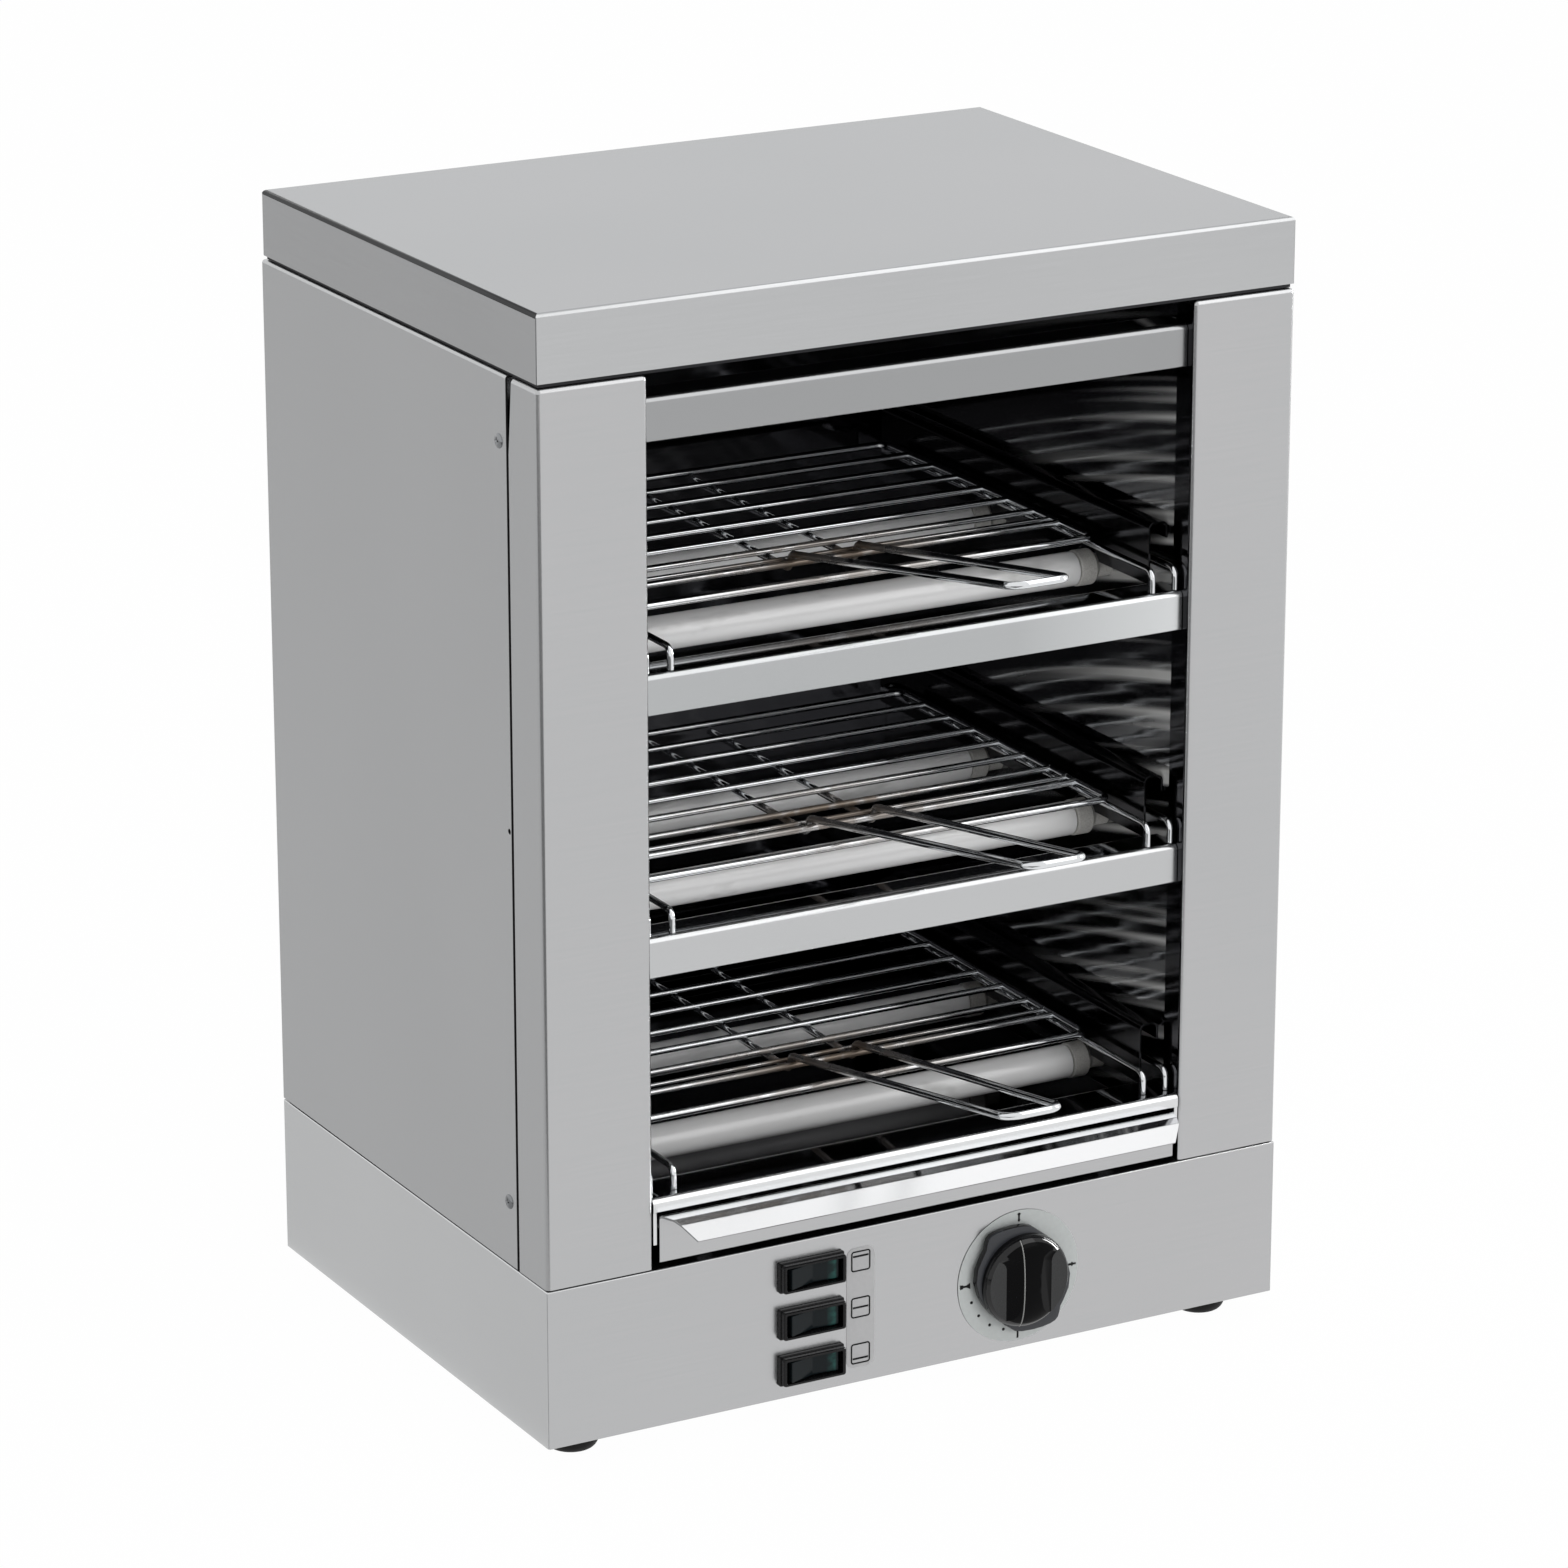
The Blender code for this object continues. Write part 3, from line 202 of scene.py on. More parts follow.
class Look:
    """A material in the making, with its tree, its shader and the object coordinates of its patterns."""

    def __init__(self, name, code, metallic, roughness, **constants):
        self.material = bpy.data.materials.new(name)
        self.material.use_nodes = True
        self.tree = self.material.node_tree
        self.shader = self.tree.nodes["Principled BSDF"]
        values = {"Base Color": srgb(code), "Metallic": metallic, "Roughness": roughness, **constants}
        for socket, value in values.items():
            self.shader.inputs[socket.replace("_", " ")].default_value = value
        self.place = add(self.tree, "ShaderNodeTexCoord").outputs["Object"]

    def parts(self):
        return add(self.tree, "ShaderNodeSeparateXYZ", {0: self.place}).outputs

    def math(self, operation, *values):
        return math_of(self.tree, operation, *values)

    def noise(self, scale, detail=2.0, place=None):
        """Noise on stretched coordinates, scaled by cycles per metre along X, Y and Z."""
        spread = {"Vector": self.place if place is None else place, "Scale": scale}
        stretched = add(self.tree, "ShaderNodeMapping", spread).outputs[0]
        inputs = {"Vector": stretched, "Scale": 1.0, "Detail": detail}
        return add(self.tree, "ShaderNodeTexNoise", inputs).outputs[0]

    def ranged(self, value, start, end, low_value=0.0, high_value=1.0):
        ends = {"From Min": start, "From Max": end, "To Min": low_value, "To Max": high_value}
        return add(self.tree, "ShaderNodeMapRange", {"Value": value, **ends}).outputs[0]

    def feed(self, socket, value):
        self.tree.links.new(value, self.shader.inputs[socket])

    def tint(self, share, first, second):
        """The colour runs from the first hex colour to the second as the share goes from 0 to 1."""
        ends = {0: share, 6: srgb(first), 7: srgb(second)}
        self.feed("Base Color", add(self.tree, "ShaderNodeMix", ends, data_type="RGBA").outputs[2])

    def rough(self, pattern, smoothest, roughest):
        """The roughness follows the middle of a pattern's range."""
        self.feed("Roughness", self.ranged(pattern, 0.3, 0.7, smoothest, roughest))

    def bump(self, height, distance, strength):
        inputs = {"Height": height, "Distance": distance, "Strength": strength}
        self.feed("Normal", add(self.tree, "ShaderNodeBump", inputs).outputs[0])


# Materials

# Real brush lines are 0.1 mm apart. They are drawn 0.7 mm apart to show, and faintly, as on satin sheet.
BRUSH_ALONG = 25.0
BRUSH_ACROSS = 1400.0
CLOUDS = (7.0, 7.0, 5.0)


def brushed_stainless(name, light, dark, roughness, grain):
    """Stainless sheet brushed with a fine belt: an even satin grey with soft, slow shifts of tone."""
    look = Look(name, light, 1.0, roughness)
    lines = look.noise(grain)
    both = look.math("ADD", lines, look.noise(CLOUDS, 1.0))
    look.tint(look.ranged(both, 0.7, 1.3), dark, light)
    look.rough(lines, roughness - 0.01, roughness + 0.015)
    look.bump(lines, 0.00001, 0.25)
    return look.material


def polished_stainless(name, light, dark, roughness):
    """Bright annealed sheet, rolled and wiped but not brushed: it mirrors with a slight waviness."""
    look = Look(name, light, 1.0, roughness)
    waves = look.noise((6.0, 14.0, 14.0), 1.0)
    look.tint(look.ranged(waves, 0.35, 0.65), dark, light)
    look.rough(look.noise((30.0, 300.0, 300.0)), roughness * 0.8, roughness * 1.25)
    look.bump(waves, 0.0004, 0.3)
    return look.material


def rail_steel(name, left, right):
    """Strip folded from bright rolled sheet and wiped: a soft mirror, with a painted highlight that brightens
    its tone to its right end.
    """
    look = Look(name, left, 1.0, 0.24)
    wiped = look.noise((12.0, 110.0, 110.0))
    # Painted highlight: the tone runs from the left colour to the right one between x 0.05 m and 0.13 m.
    look.tint(look.ranged(look.parts()[0], 0.05, 0.13), left, right)
    look.rough(wiped, 0.22, 0.25)
    look.bump(wiped, 0.00001, 0.1)
    return look.material


def chamber_steel(name, code, streaks):
    """Polished sheet painted dark for the shade inside the chamber: it mirrors the wires darkly, and its
    drawn-out streaks are painted reflections of the wires.
    """
    look = Look(name, code, 1.0, 0.08)
    _, depth, height = look.parts()
    # The painted reflections rise towards the front and level out there, as a bowed sheet's mirror of the
    # wires does.
    slope = look.math("MULTIPLY_ADD", depth, 0.333, 0.25)
    raised = look.math("MULTIPLY_ADD", depth, slope, height)
    bands = look.noise((1.0, 1.5, 105.0), 1.0, vector(look.tree, 0.0, depth, raised))
    near = look.ranged(depth, 0.11, -0.04, 0.0, streaks)
    share = look.math("MULTIPLY", look.ranged(bands, 0.50, 0.64), near)
    look.tint(share, code, "ECECEA")
    # The painted reflections are matt, so they catch the room's light, and the dark sheet beside them stays a
    # mirror.
    look.feed("Metallic", look.ranged(share, 0.0, 1.0, 1.0, 0.0))
    look.rough(look.noise((40.0, 40.0, 200.0)), 0.05, 0.11)
    look.bump(bands, 0.0004, 0.3)
    return look.material


def chromed_wire():
    """Hard chrome on drawn steel wire: a bright mirror, gone brown from heat round the handles' hooks."""
    look = Look("chromed_wire", "DADCDE", 1.0, 0.09)
    across, depth, _ = look.parts()
    heat = look.ranged(look.math("ABSOLUTE", across), 0.105, 0.020)
    for start, end in ((-0.085, -0.005), (0.045, 0.012)):
        heat = look.math("MULTIPLY", heat, look.ranged(depth, start, end))
    smudge = look.noise((90.0, 90.0, 90.0))
    burnt = look.math("MULTIPLY", heat, look.ranged(smudge, 0.2, 0.5))
    look.tint(burnt, "DCDEE0", "85786C")
    look.feed("Roughness", look.ranged(burnt, 0.0, 1.0, 0.07, 0.26))
    # Thick oxide is no longer a mirror: it scatters a little brown light.
    look.feed("Metallic", look.ranged(burnt, 0.2, 0.9, 1.0, 0.5))
    look.bump(smudge, 0.0001, 0.2)
    return look.material


def milky_quartz():
    """Fused quartz, opaque white from tiny bubbles, with a smooth glassy skin and faint scorch marks."""
    look = Look("milky_quartz_tube", "F4F4F4", 0.0, 0.16, IOR=1.46, Coat_Weight=0.5, Coat_Roughness=0.05)
    marks = look.noise((22.0, 60.0, 60.0), 3.0)
    look.tint(look.ranged(marks, 0.62, 0.78), "F6F6F6", "B4B4B2")
    look.rough(marks, 0.12, 0.26)
    look.bump(look.noise((8.0, 120.0, 120.0)), 0.0001, 0.2)
    return look.material


def steatite_ceramic():
    """Pressed and fired steatite: a matt warm white with a fine sandy grain."""
    look = Look("steatite_ceramic_cap", "C6C5C1", 0.0, 0.62, IOR=1.5)
    # Fired grain is 0.05 mm: it is drawn at 0.6 mm.
    grain = look.noise((1600.0, 1600.0, 1600.0))
    look.tint(look.ranged(grain, 0.3, 0.7), "BAB8B4", "D2D1CD")
    look.bump(grain, 0.00005, 0.5)
    return look.material


def moulded_plastic(name, code, lighter, roughness, gloss=0.5):
    """Plastic moulded in a polished or eroded tool, with the slight unevenness of a mould."""
    look = Look(name, code, 0.0, roughness, IOR=1.5, Specular_IOR_Level=gloss)
    # Spark-eroded grain is 0.1 mm: it is drawn at 0.5 mm.
    grain = look.noise((2000.0, 2000.0, 2000.0))
    look.tint(look.ranged(grain, 0.35, 0.7), code, lighter)
    look.rough(grain, roughness * 0.85, roughness * 1.2)
    look.bump(grain, 0.00002, 0.3)
    return look.material


def smoky_rocker(centre_x):
    """Smoke-green clear plastic over a small lamp: nearly black, with a painted teal glow near its right-hand
    end.
    """
    look = Look("smoky_green_rocker", "10191A", 0.0, 0.16, IOR=1.49, Specular_IOR_Level=0.15)
    across = look.parts()[0]
    window = look.ranged(across, centre_x + 0.0068, centre_x + 0.0108)
    wall = look.ranged(across, centre_x + 0.0122, centre_x + 0.0112)
    uneven = look.ranged(look.noise((220.0, 220.0, 380.0)), 0.35, 0.65, 0.25, 1.0)
    # The lighter teal in the lens window near the right-hand end is a painted glow.
    look.tint(look.math("MULTIPLY", look.math("MULTIPLY", window, wall), uneven), "12191C", "2A5550")
    return look.material


def printed_film(name, code, darker):
    """Matt polyester film with a printed ground, stuck flat to the steel."""
    look = Look(name, code, 0.15, 0.42, IOR=1.5)
    mottle = look.noise((500.0, 500.0, 500.0))
    look.tint(look.ranged(mottle, 0.3, 0.7), darker, code)
    look.bump(mottle, 0.00001, 0.2)
    return look.material


def black_rubber():
    """Moulded nitrile rubber: charcoal black, matt, with a chalky bloom."""
    look = Look("black_rubber_foot", "0C0C0C", 0.0, 0.55, IOR=1.52, Specular_IOR_Level=0.2)
    bloom = look.noise((300.0, 300.0, 300.0), 3.0)
    look.tint(look.ranged(bloom, 0.5, 0.8), "060606", "141414")
    look.bump(bloom, 0.0001, 0.3)
    return look.material


ALONG_X = (BRUSH_ALONG, BRUSH_ACROSS, BRUSH_ACROSS)
ALONG_Y = (BRUSH_ACROSS, BRUSH_ALONG, BRUSH_ACROSS)
# Lit and shaded copies of one brushed steel, one tone for each way a face looks: the lid's top is painted
# darker and the base's sides lighter, for the light that falls on them. The side copies' grain runs along Y.
SATIN_FRONT = brushed_stainless("brushed_stainless_front", "BBBBBC", "B8B9BA", 0.25, ALONG_X)
SATIN_SIDE = brushed_stainless("brushed_stainless_side", "C2C3C4", "BFC0C1", 0.25, ALONG_Y)
SATIN_BASE_SIDE = brushed_stainless("brushed_stainless_base_side", "DADBDC", "D6D7D8", 0.25, ALONG_Y)
SATIN_LID = brushed_stainless("brushed_stainless_lid", "BBBCBD", "B8B9BA", 0.25, ALONG_X)
SATIN_LID_SIDE = brushed_stainless("brushed_stainless_lid_side", "B8B9BA", "B4B5B6", 0.25, ALONG_Y)
SATIN_LID_TOP = brushed_stainless("brushed_stainless_lid_top", "A6A7A9", "A2A4A6", 0.25, ALONG_X)
# Painted shade: the chamber's ceiling and the pan's lips in the gap under the lid get a dark copy of the
# brushed steel.
CEILING_STEEL = brushed_stainless("pan_steel_painted_dark_for_shade", "38383A", "2C2C2E", 0.5, ALONG_X)
# Lit and shaded copies of one rolled steel: the upper rail is painted darker, the sill lighter, and the
# middle rail has a painted highlight towards its right end.
RAIL_FINISHES = {
    "upper_front_rail": rail_steel("rolled_stainless_upper_rail", "9FA0A1", "9FA0A1"),
    "middle_front_rail": rail_steel("rolled_stainless_middle_rail", "B5B7B8", "D4D6D7"),
    "lower_front_rail": rail_steel("rolled_stainless_lower_rail", "C1C2C3", "C1C2C3"),
    "front_sill": rail_steel("rolled_stainless_sill", "DCDDDE", "DCDDDE"),
}
TRAY_FLANGE = polished_stainless("mirror_polished_tray_flange", "DCDDDE", "D2D3D5", 0.07)
CHAMBER_MIRROR = polished_stainless("mirror_polished_rail_top", "8E8F91", "6E6F71", 0.05)
# Painted shade: a dark copy of the steel that draws a dark line along the lid's side bends.
BEND_PAINTED_SHADE = polished_stainless("bend_line_painted_shade", "353637", "2C2D2E", 0.2)
# Painted shade: the runner plates inside the chamber get a dark copy of the polished steel.
RUNNER_STEEL = polished_stainless("runner_steel_painted_dark_for_shade", "3A3A3C", "242426", 0.14)
SCREW_STEEL = polished_stainless("plated_screw_steel", "9A9C9E", "7C7E80", 0.12)
# Painted shade: faces inside the chamber get a dark copy of the steel, and the liners carry painted
# reflections of the wires.
DARK_WALL = chamber_steel("wall_painted_dark_for_shade", "4A4A4D", 0.0)
STREAKED_WALL = chamber_steel("side_wall_painted_reflections", "7C7D7F", 1.0)
# Painted shade: a near-black finish for the cut edges at the seam, for the shade in it.
CUT_EDGE = moulded_plastic("cut_edge_painted_shade", "0E0E0F", "1C1C1D", 0.6)
CHROME = chromed_wire()
QUARTZ = milky_quartz()
CERAMIC = steatite_ceramic()
BLACK = moulded_plastic("black_moulded_plastic", "080809", "0E0E10", 0.24, gloss=0.25)
# Painted shade: the knob grip's front faces get a near-black copy that barely reflects.
BLACK_FACE = moulded_plastic("black_grip_face_painted_shade", "040405", "060607", 0.16, gloss=0.06)
BLACK_MATT = moulded_plastic("black_eroded_plastic", "101011", "191A1B", 0.42, gloss=0.3)
GLOSSY_BLACK = moulded_plastic("glossy_black_plastic", "060608", "0A0A0C", 0.07, gloss=0.4)
# Painted sheen: the knob's skirt front and scoop floors are lighter than its gloss black, for the light that
# they catch.
SKIRT_FACE = moulded_plastic("black_skirt_face_painted_sheen", "26282D", "303237", 0.34)
SCOOP_FACE = moulded_plastic("black_scoop_face_painted_sheen", "161718", "1E1F20", 0.30)
PALE_INLAY = moulded_plastic("grey_index_inlay", "8A8A88", "949492", 0.4)
INK = moulded_plastic("black_printing_ink", "0A0A0B", "141415", 0.5, gloss=0.2)
RUBBER = black_rubber()
DIAL_FILM = printed_film("printed_dial_film", "C6CAC9", "C1C5C4")
LABEL_FILM = printed_film("printed_label_film", "BDBDBE", "B9B9BA")
ROCKER = smoky_rocker((low("rocker_1").x + high("rocker_1").x) / 2)


# Meshes

def piece_of(name, shape, material):
    """A named piece made from a bmesh, which it frees."""
    mesh = bpy.data.meshes.new(name)
    shape.to_mesh(mesh)
    shape.free()
    mesh.materials.append(material)
    piece = bpy.data.objects.new(name, mesh)
    bpy.context.scene.collection.objects.link(piece)
    return piece


def settle(piece):
    """Makes what a piece's modifiers give its plain mesh."""
    graph = bpy.context.evaluated_depsgraph_get()
    mesh = bpy.data.meshes.new_from_object(piece.evaluated_get(graph), depsgraph=graph)
    piece.modifiers.clear()
    piece.data = mesh
    return piece


def smooth(piece, angle=math.radians(36)):
    """Smooth shading over bends, with the large flat faces kept flat."""
    piece.data.shade_smooth()
    piece.data.set_sharp_from_angle(angle=angle)
    flat = piece.modifiers.new("Flat faces", "WEIGHTED_NORMAL")
    flat.keep_sharp = True
    flat.weight = 90
    return settle(piece)


def thicken(piece):
    """Sheet on the inner side of a surface."""
    solid = piece.modifiers.new("Sheet", "SOLIDIFY")
    solid.thickness = SHEET
    solid.offset = -1
    solid.use_even_offset = True
    return settle(piece)


def soften(piece, width, steps=2, angle=math.radians(50)):
    bevel = piece.modifiers.new("Soft edges", "BEVEL")
    bevel.width = width
    bevel.segments = steps
    bevel.limit_method = "ANGLE"
    bevel.angle_limit = angle
    return settle(piece)


def trimmed(piece, width=0.00012):
    """Bent sheet with its cut edges broken."""
    return smooth(soften(piece, width, 1, math.radians(70)))


def pierce(piece, cutters):
    """Cuts closed helper pieces out of a piece and removes them."""
    for cutter in cutters:
        hole = piece.modifiers.new("Hole", "BOOLEAN")
        hole.operation = "DIFFERENCE"
        hole.object = cutter
    settle(piece)
    for cutter in cutters:
        bpy.data.objects.remove(cutter)
    return piece


def faced(piece, material, chosen):
    """Gives the faces that a test chooses another finish."""
    piece.data.materials.append(material)
    for face in piece.data.polygons:
        if chosen(face):
            face.material_index = len(piece.data.materials) - 1
    return piece


def carried(piece, slot, *nodes, body=CABINET):
    """The piece rides on its body and stands for the nodes it replaces, which are hidden. Its slot is not
    used.
    """
    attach(piece, body)
    if nodes:
        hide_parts(*nodes)
    return piece


def merged(name, pieces):
    """Several finished pieces of one body as one object."""
    with bpy.context.temp_override(active_object=pieces[0], selected_editable_objects=pieces):
        bpy.ops.object.join()
    pieces[0].name = name
    return pieces[0]


def copied(name, node, material):
    """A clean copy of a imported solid, with merged corners and whole flat faces."""
    shape = bmesh.new()
    shape.from_mesh(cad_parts[node].data)
    bmesh.ops.remove_doubles(shape, verts=shape.verts, dist=0.000005)
    bmesh.ops.dissolve_limit(shape, angle_limit=math.radians(1), verts=shape.verts, edges=shape.edges)
    return piece_of(name, shape, material)


def rounded(points, radius, steps=BEND_STEPS, closed=False):
    """A path in 2D or 3D with each inner corner replaced by an arc. Each corner may have its own radius."""
    points = [Vector(point) for point in points]
    radii = radius if isinstance(radius, (list, tuple)) else [radius] * len(points)
    made = []
    for index, (corner, radius) in enumerate(zip(points, radii)):
        if not closed and index in (0, len(points) - 1):
            made.append(corner)
            continue
        before = (points[index - 1] - corner).normalized()
        after = (points[(index + 1) % len(points)] - corner).normalized()
        half = before.angle(after) / 2
        centre = corner + (before + after).normalized() * (radius / math.sin(half))
        start = corner + before * (radius / math.tan(half)) - centre
        end = corner + after * (radius / math.tan(half)) - centre
        swept = math.pi - 2 * half
        for step in range(steps + 1):
            share = step / steps
            turn = start * math.sin((1 - share) * swept) + end * math.sin(share * swept)
            made.append(centre + turn / math.sin(swept))
    return made


def box_shape(corner, opposite):
    shape = bmesh.new()
    bmesh.ops.create_cube(shape, size=1)
    corner, opposite = Vector(corner), Vector(opposite)
    bmesh.ops.scale(shape, vec=opposite - corner, verts=shape.verts)
    bmesh.ops.translate(shape, vec=(corner + opposite) / 2, verts=shape.verts)
    shape.normal_update()
    return shape


def block(name, corner, opposite, material, edge=0.0003):
    """A solid block with softened edges."""
    return smooth(soften(piece_of(name, box_shape(corner, opposite), material), edge))


def bend_edges(shape, edges, width):
    bmesh.ops.bevel(shape, geom=edges, offset=width, segments=BEND_STEPS, profile=0.5, affect="EDGES")


def folded(name, corner, opposite, bend, material):
    """A box of sheet folded down on all sides, open below. Its upright corners are cut and stay sharp."""
    shape = box_shape(corner, opposite)
    gone = [face for face in shape.faces if face.normal.z < -0.9]
    bmesh.ops.delete(shape, geom=gone, context="FACES")
    inner = [edge for edge in shape.edges if len(edge.link_faces) == 2]
    bends = [edge for edge in inner if abs((edge.verts[0].co - edge.verts[1].co).z) < bend]
    bend_edges(shape, bends, bend)
    return thicken(piece_of(name, shape, material))


def corner_slits(corner, opposite, bend):
    """Cutters for the slit where two folded sides meet at each upright corner."""
    cutters = []
    start = (-CORNER_SLIT_DEPTH, -CORNER_SLIT / 2, corner.z - SHEET)
    end = (CORNER_SLIT_DEPTH, CORNER_SLIT / 2, opposite.z - bend * 0.8)
    for x, inward_x in ((corner.x, 1), (opposite.x, -1)):
        for y, inward_y in ((corner.y, 1), (opposite.y, -1)):
            shape = box_shape(start, end)
            turn = Matrix.Rotation(math.radians(45 * inward_x * inward_y), 4, "Z")
            bmesh.ops.transform(shape, matrix=Matrix.Translation((x, y, 0)) @ turn, verts=shape.verts)
            cutters.append(piece_of("corner_slit", shape, CUT_EDGE))
    return cutters


def swept_sheet(name, outline, ends, material, along="X"):
    """A sheet bent to an outline, each point of it a line between two ends along X or Y."""
    shape = bmesh.new()
    rows = []
    for across, height in outline:
        places = ends(across) if callable(ends) else ends
        if along == "X":
            row = [(place, across, height) for place in places]
        else:
            row = [(across, place, height) for place in places]
        rows.append([shape.verts.new(place) for place in row])
    for before, after in zip(rows, rows[1:]):
        shape.faces.new((before[0], before[1], after[1], after[0]))
    return thicken(piece_of(name, shape, material))


def pairs_of(rows, closed):
    return list(zip(rows, rows[1:])) + ([(rows[-1], rows[0])] if closed else [])


def turned(name, profile, centre, direction, material, steps=48, closed=False):
    """A profile of (radius, height) turned about a direction through a centre."""
    shape = bmesh.new()
    rings = []
    for radius, height in profile:
        count = steps if radius > 0 else 1
        angles = [math.tau * step / steps for step in range(count)]
        rings.append([shape.verts.new((radius * math.cos(a), radius * math.sin(a), height)) for a in angles])
    for lower, upper in pairs_of(rings, closed):
        for step in range(steps):
            first = (lower[step % len(lower)], lower[(step + 1) % len(lower)])
            second = (upper[(step + 1) % len(upper)], upper[step % len(upper)])
            corners = list(dict.fromkeys(first + second))
            if len(corners) > 2:
                shape.faces.new(corners)
    bmesh.ops.recalc_face_normals(shape, faces=shape.faces)
    turn = Vector(direction).to_track_quat("Z", "Y").to_matrix().to_4x4()
    bmesh.ops.transform(shape, matrix=Matrix.Translation(Vector(centre)) @ turn, verts=shape.verts)
    return smooth(piece_of(name, shape, material))


def drill(name, radius, length, start, direction, steps):
    """A round cutter."""
    profile = [(0, 0), (radius, 0), (radius, length), (0, length)]
    return turned(name, profile, start, direction, BLACK, steps)


def ring(half_x, half_z, corner, centre, y, steps=6):
    """A rounded rectangle facing the front, about a centre given by X and Z."""
    outline = [(-half_x, -half_z), (half_x, -half_z), (half_x, half_z), (-half_x, half_z)]
    path = rounded(outline, corner, steps, closed=True)
    return [Vector((centre[0] + point.x, y, centre[1] + point.y)) for point in path]


def skin(loops, hollow=False):
    """A skin through loops of equal count. Its ends are closed, or joined to each other if it is hollow."""
    shape = bmesh.new()
    rows = [[shape.verts.new(point) for point in loop] for loop in loops]
    for lower, upper in pairs_of(rows, hollow):
        for step in range(len(lower)):
            after = (step + 1) % len(lower)
            shape.faces.new((lower[step], lower[after], upper[after], upper[step]))
    if not hollow:
        shape.faces.new(rows[0])
        shape.faces.new(rows[-1])
    bmesh.ops.recalc_face_normals(shape, faces=shape.faces)
    return shape


def lofted(name, loops, material, hollow=False):
    return smooth(piece_of(name, skin(loops, hollow), material))


# Geometry Nodes

def new_tree(name, lengths, **others):
    """A geometry tree with inputs named for their sizes. Returns it with the outputs of its input node."""
    tree = bpy.data.node_groups.new(name, "GeometryNodeTree")
    kinds = {"Geometry": "Geometry", **dict.fromkeys(lengths.split(), "Float"), **others}
    kinds["Material"] = "Material"
    for label, kind in kinds.items():
        tree.interface.new_socket(label, in_out="INPUT", socket_type="NodeSocket" + kind)
    tree.interface.new_socket("Geometry", in_out="OUTPUT", socket_type="NodeSocketGeometry")
    return tree, add(tree, "NodeGroupInput").outputs


def joined(tree, parts):
    join = add(tree, "GeometryNodeJoinGeometry")
    for part in parts:
        tree.links.new(part, join.inputs[0])
    return join.outputs[0]


def moved(tree, part, place, **more):
    return add(tree, "GeometryNodeTransform", {0: part, "Translation": place, **more}).outputs[0]


def on_points(tree, points, part, **more):
    inputs = {"Points": points, "Instance": part, **more}
    return add(tree, "GeometryNodeInstanceOnPoints", inputs).outputs[0]


def close_tree(tree, given, parts):
    """Joins the parts, makes the copies real, shades them smooth and gives them the tree's material."""
    real = add(tree, "GeometryNodeRealizeInstances", {0: joined(tree, parts)})
    shaded = add(tree, "GeometryNodeSetShadeSmooth", {0: real.outputs[0]})
    painted = add(tree, "GeometryNodeSetMaterial", {0: shaded.outputs[0], "Material": given["Material"]})
    add(tree, "NodeGroupOutput", {0: painted.outputs[0]})
    return tree


def grown(name, tree, start=None, **sizes):
    """The plain mesh piece that a tree makes from a start mesh and its named sizes."""
    piece = bpy.data.objects.new(name, start or bpy.data.meshes.new(name))
    bpy.context.scene.collection.objects.link(piece)
    step = piece.modifiers.new("Grow", "NODES")
    step.node_group = tree
    sockets = {item.name: item.identifier for item in tree.interface.items_tree if item.in_out == "INPUT"}
    for label, value in sizes.items():
        step[sockets[label]] = value
    return settle(piece)


def round_bar(tree, path, radius):
    """A round section swept along a path, closed at its ends."""
    circle = {"Resolution": WIRE_SIDES, "Radius": radius}
    section = add(tree, "GeometryNodeCurvePrimitiveCircle", circle).outputs[0]
    swept = {"Curve": path, "Profile Curve": section, "Fill Caps": True}
    return add(tree, "GeometryNodeCurveToMesh", swept).outputs[0]


def bent_wire_tree():
    """One wire along a start mesh of edges."""
    tree, given = new_tree("bent_wire", "WireRadius")
    path = add(tree, "GeometryNodeMeshToCurve", {0: given["Geometry"]}).outputs[0]
    return close_tree(tree, given, [round_bar(tree, path, given["WireRadius"])])


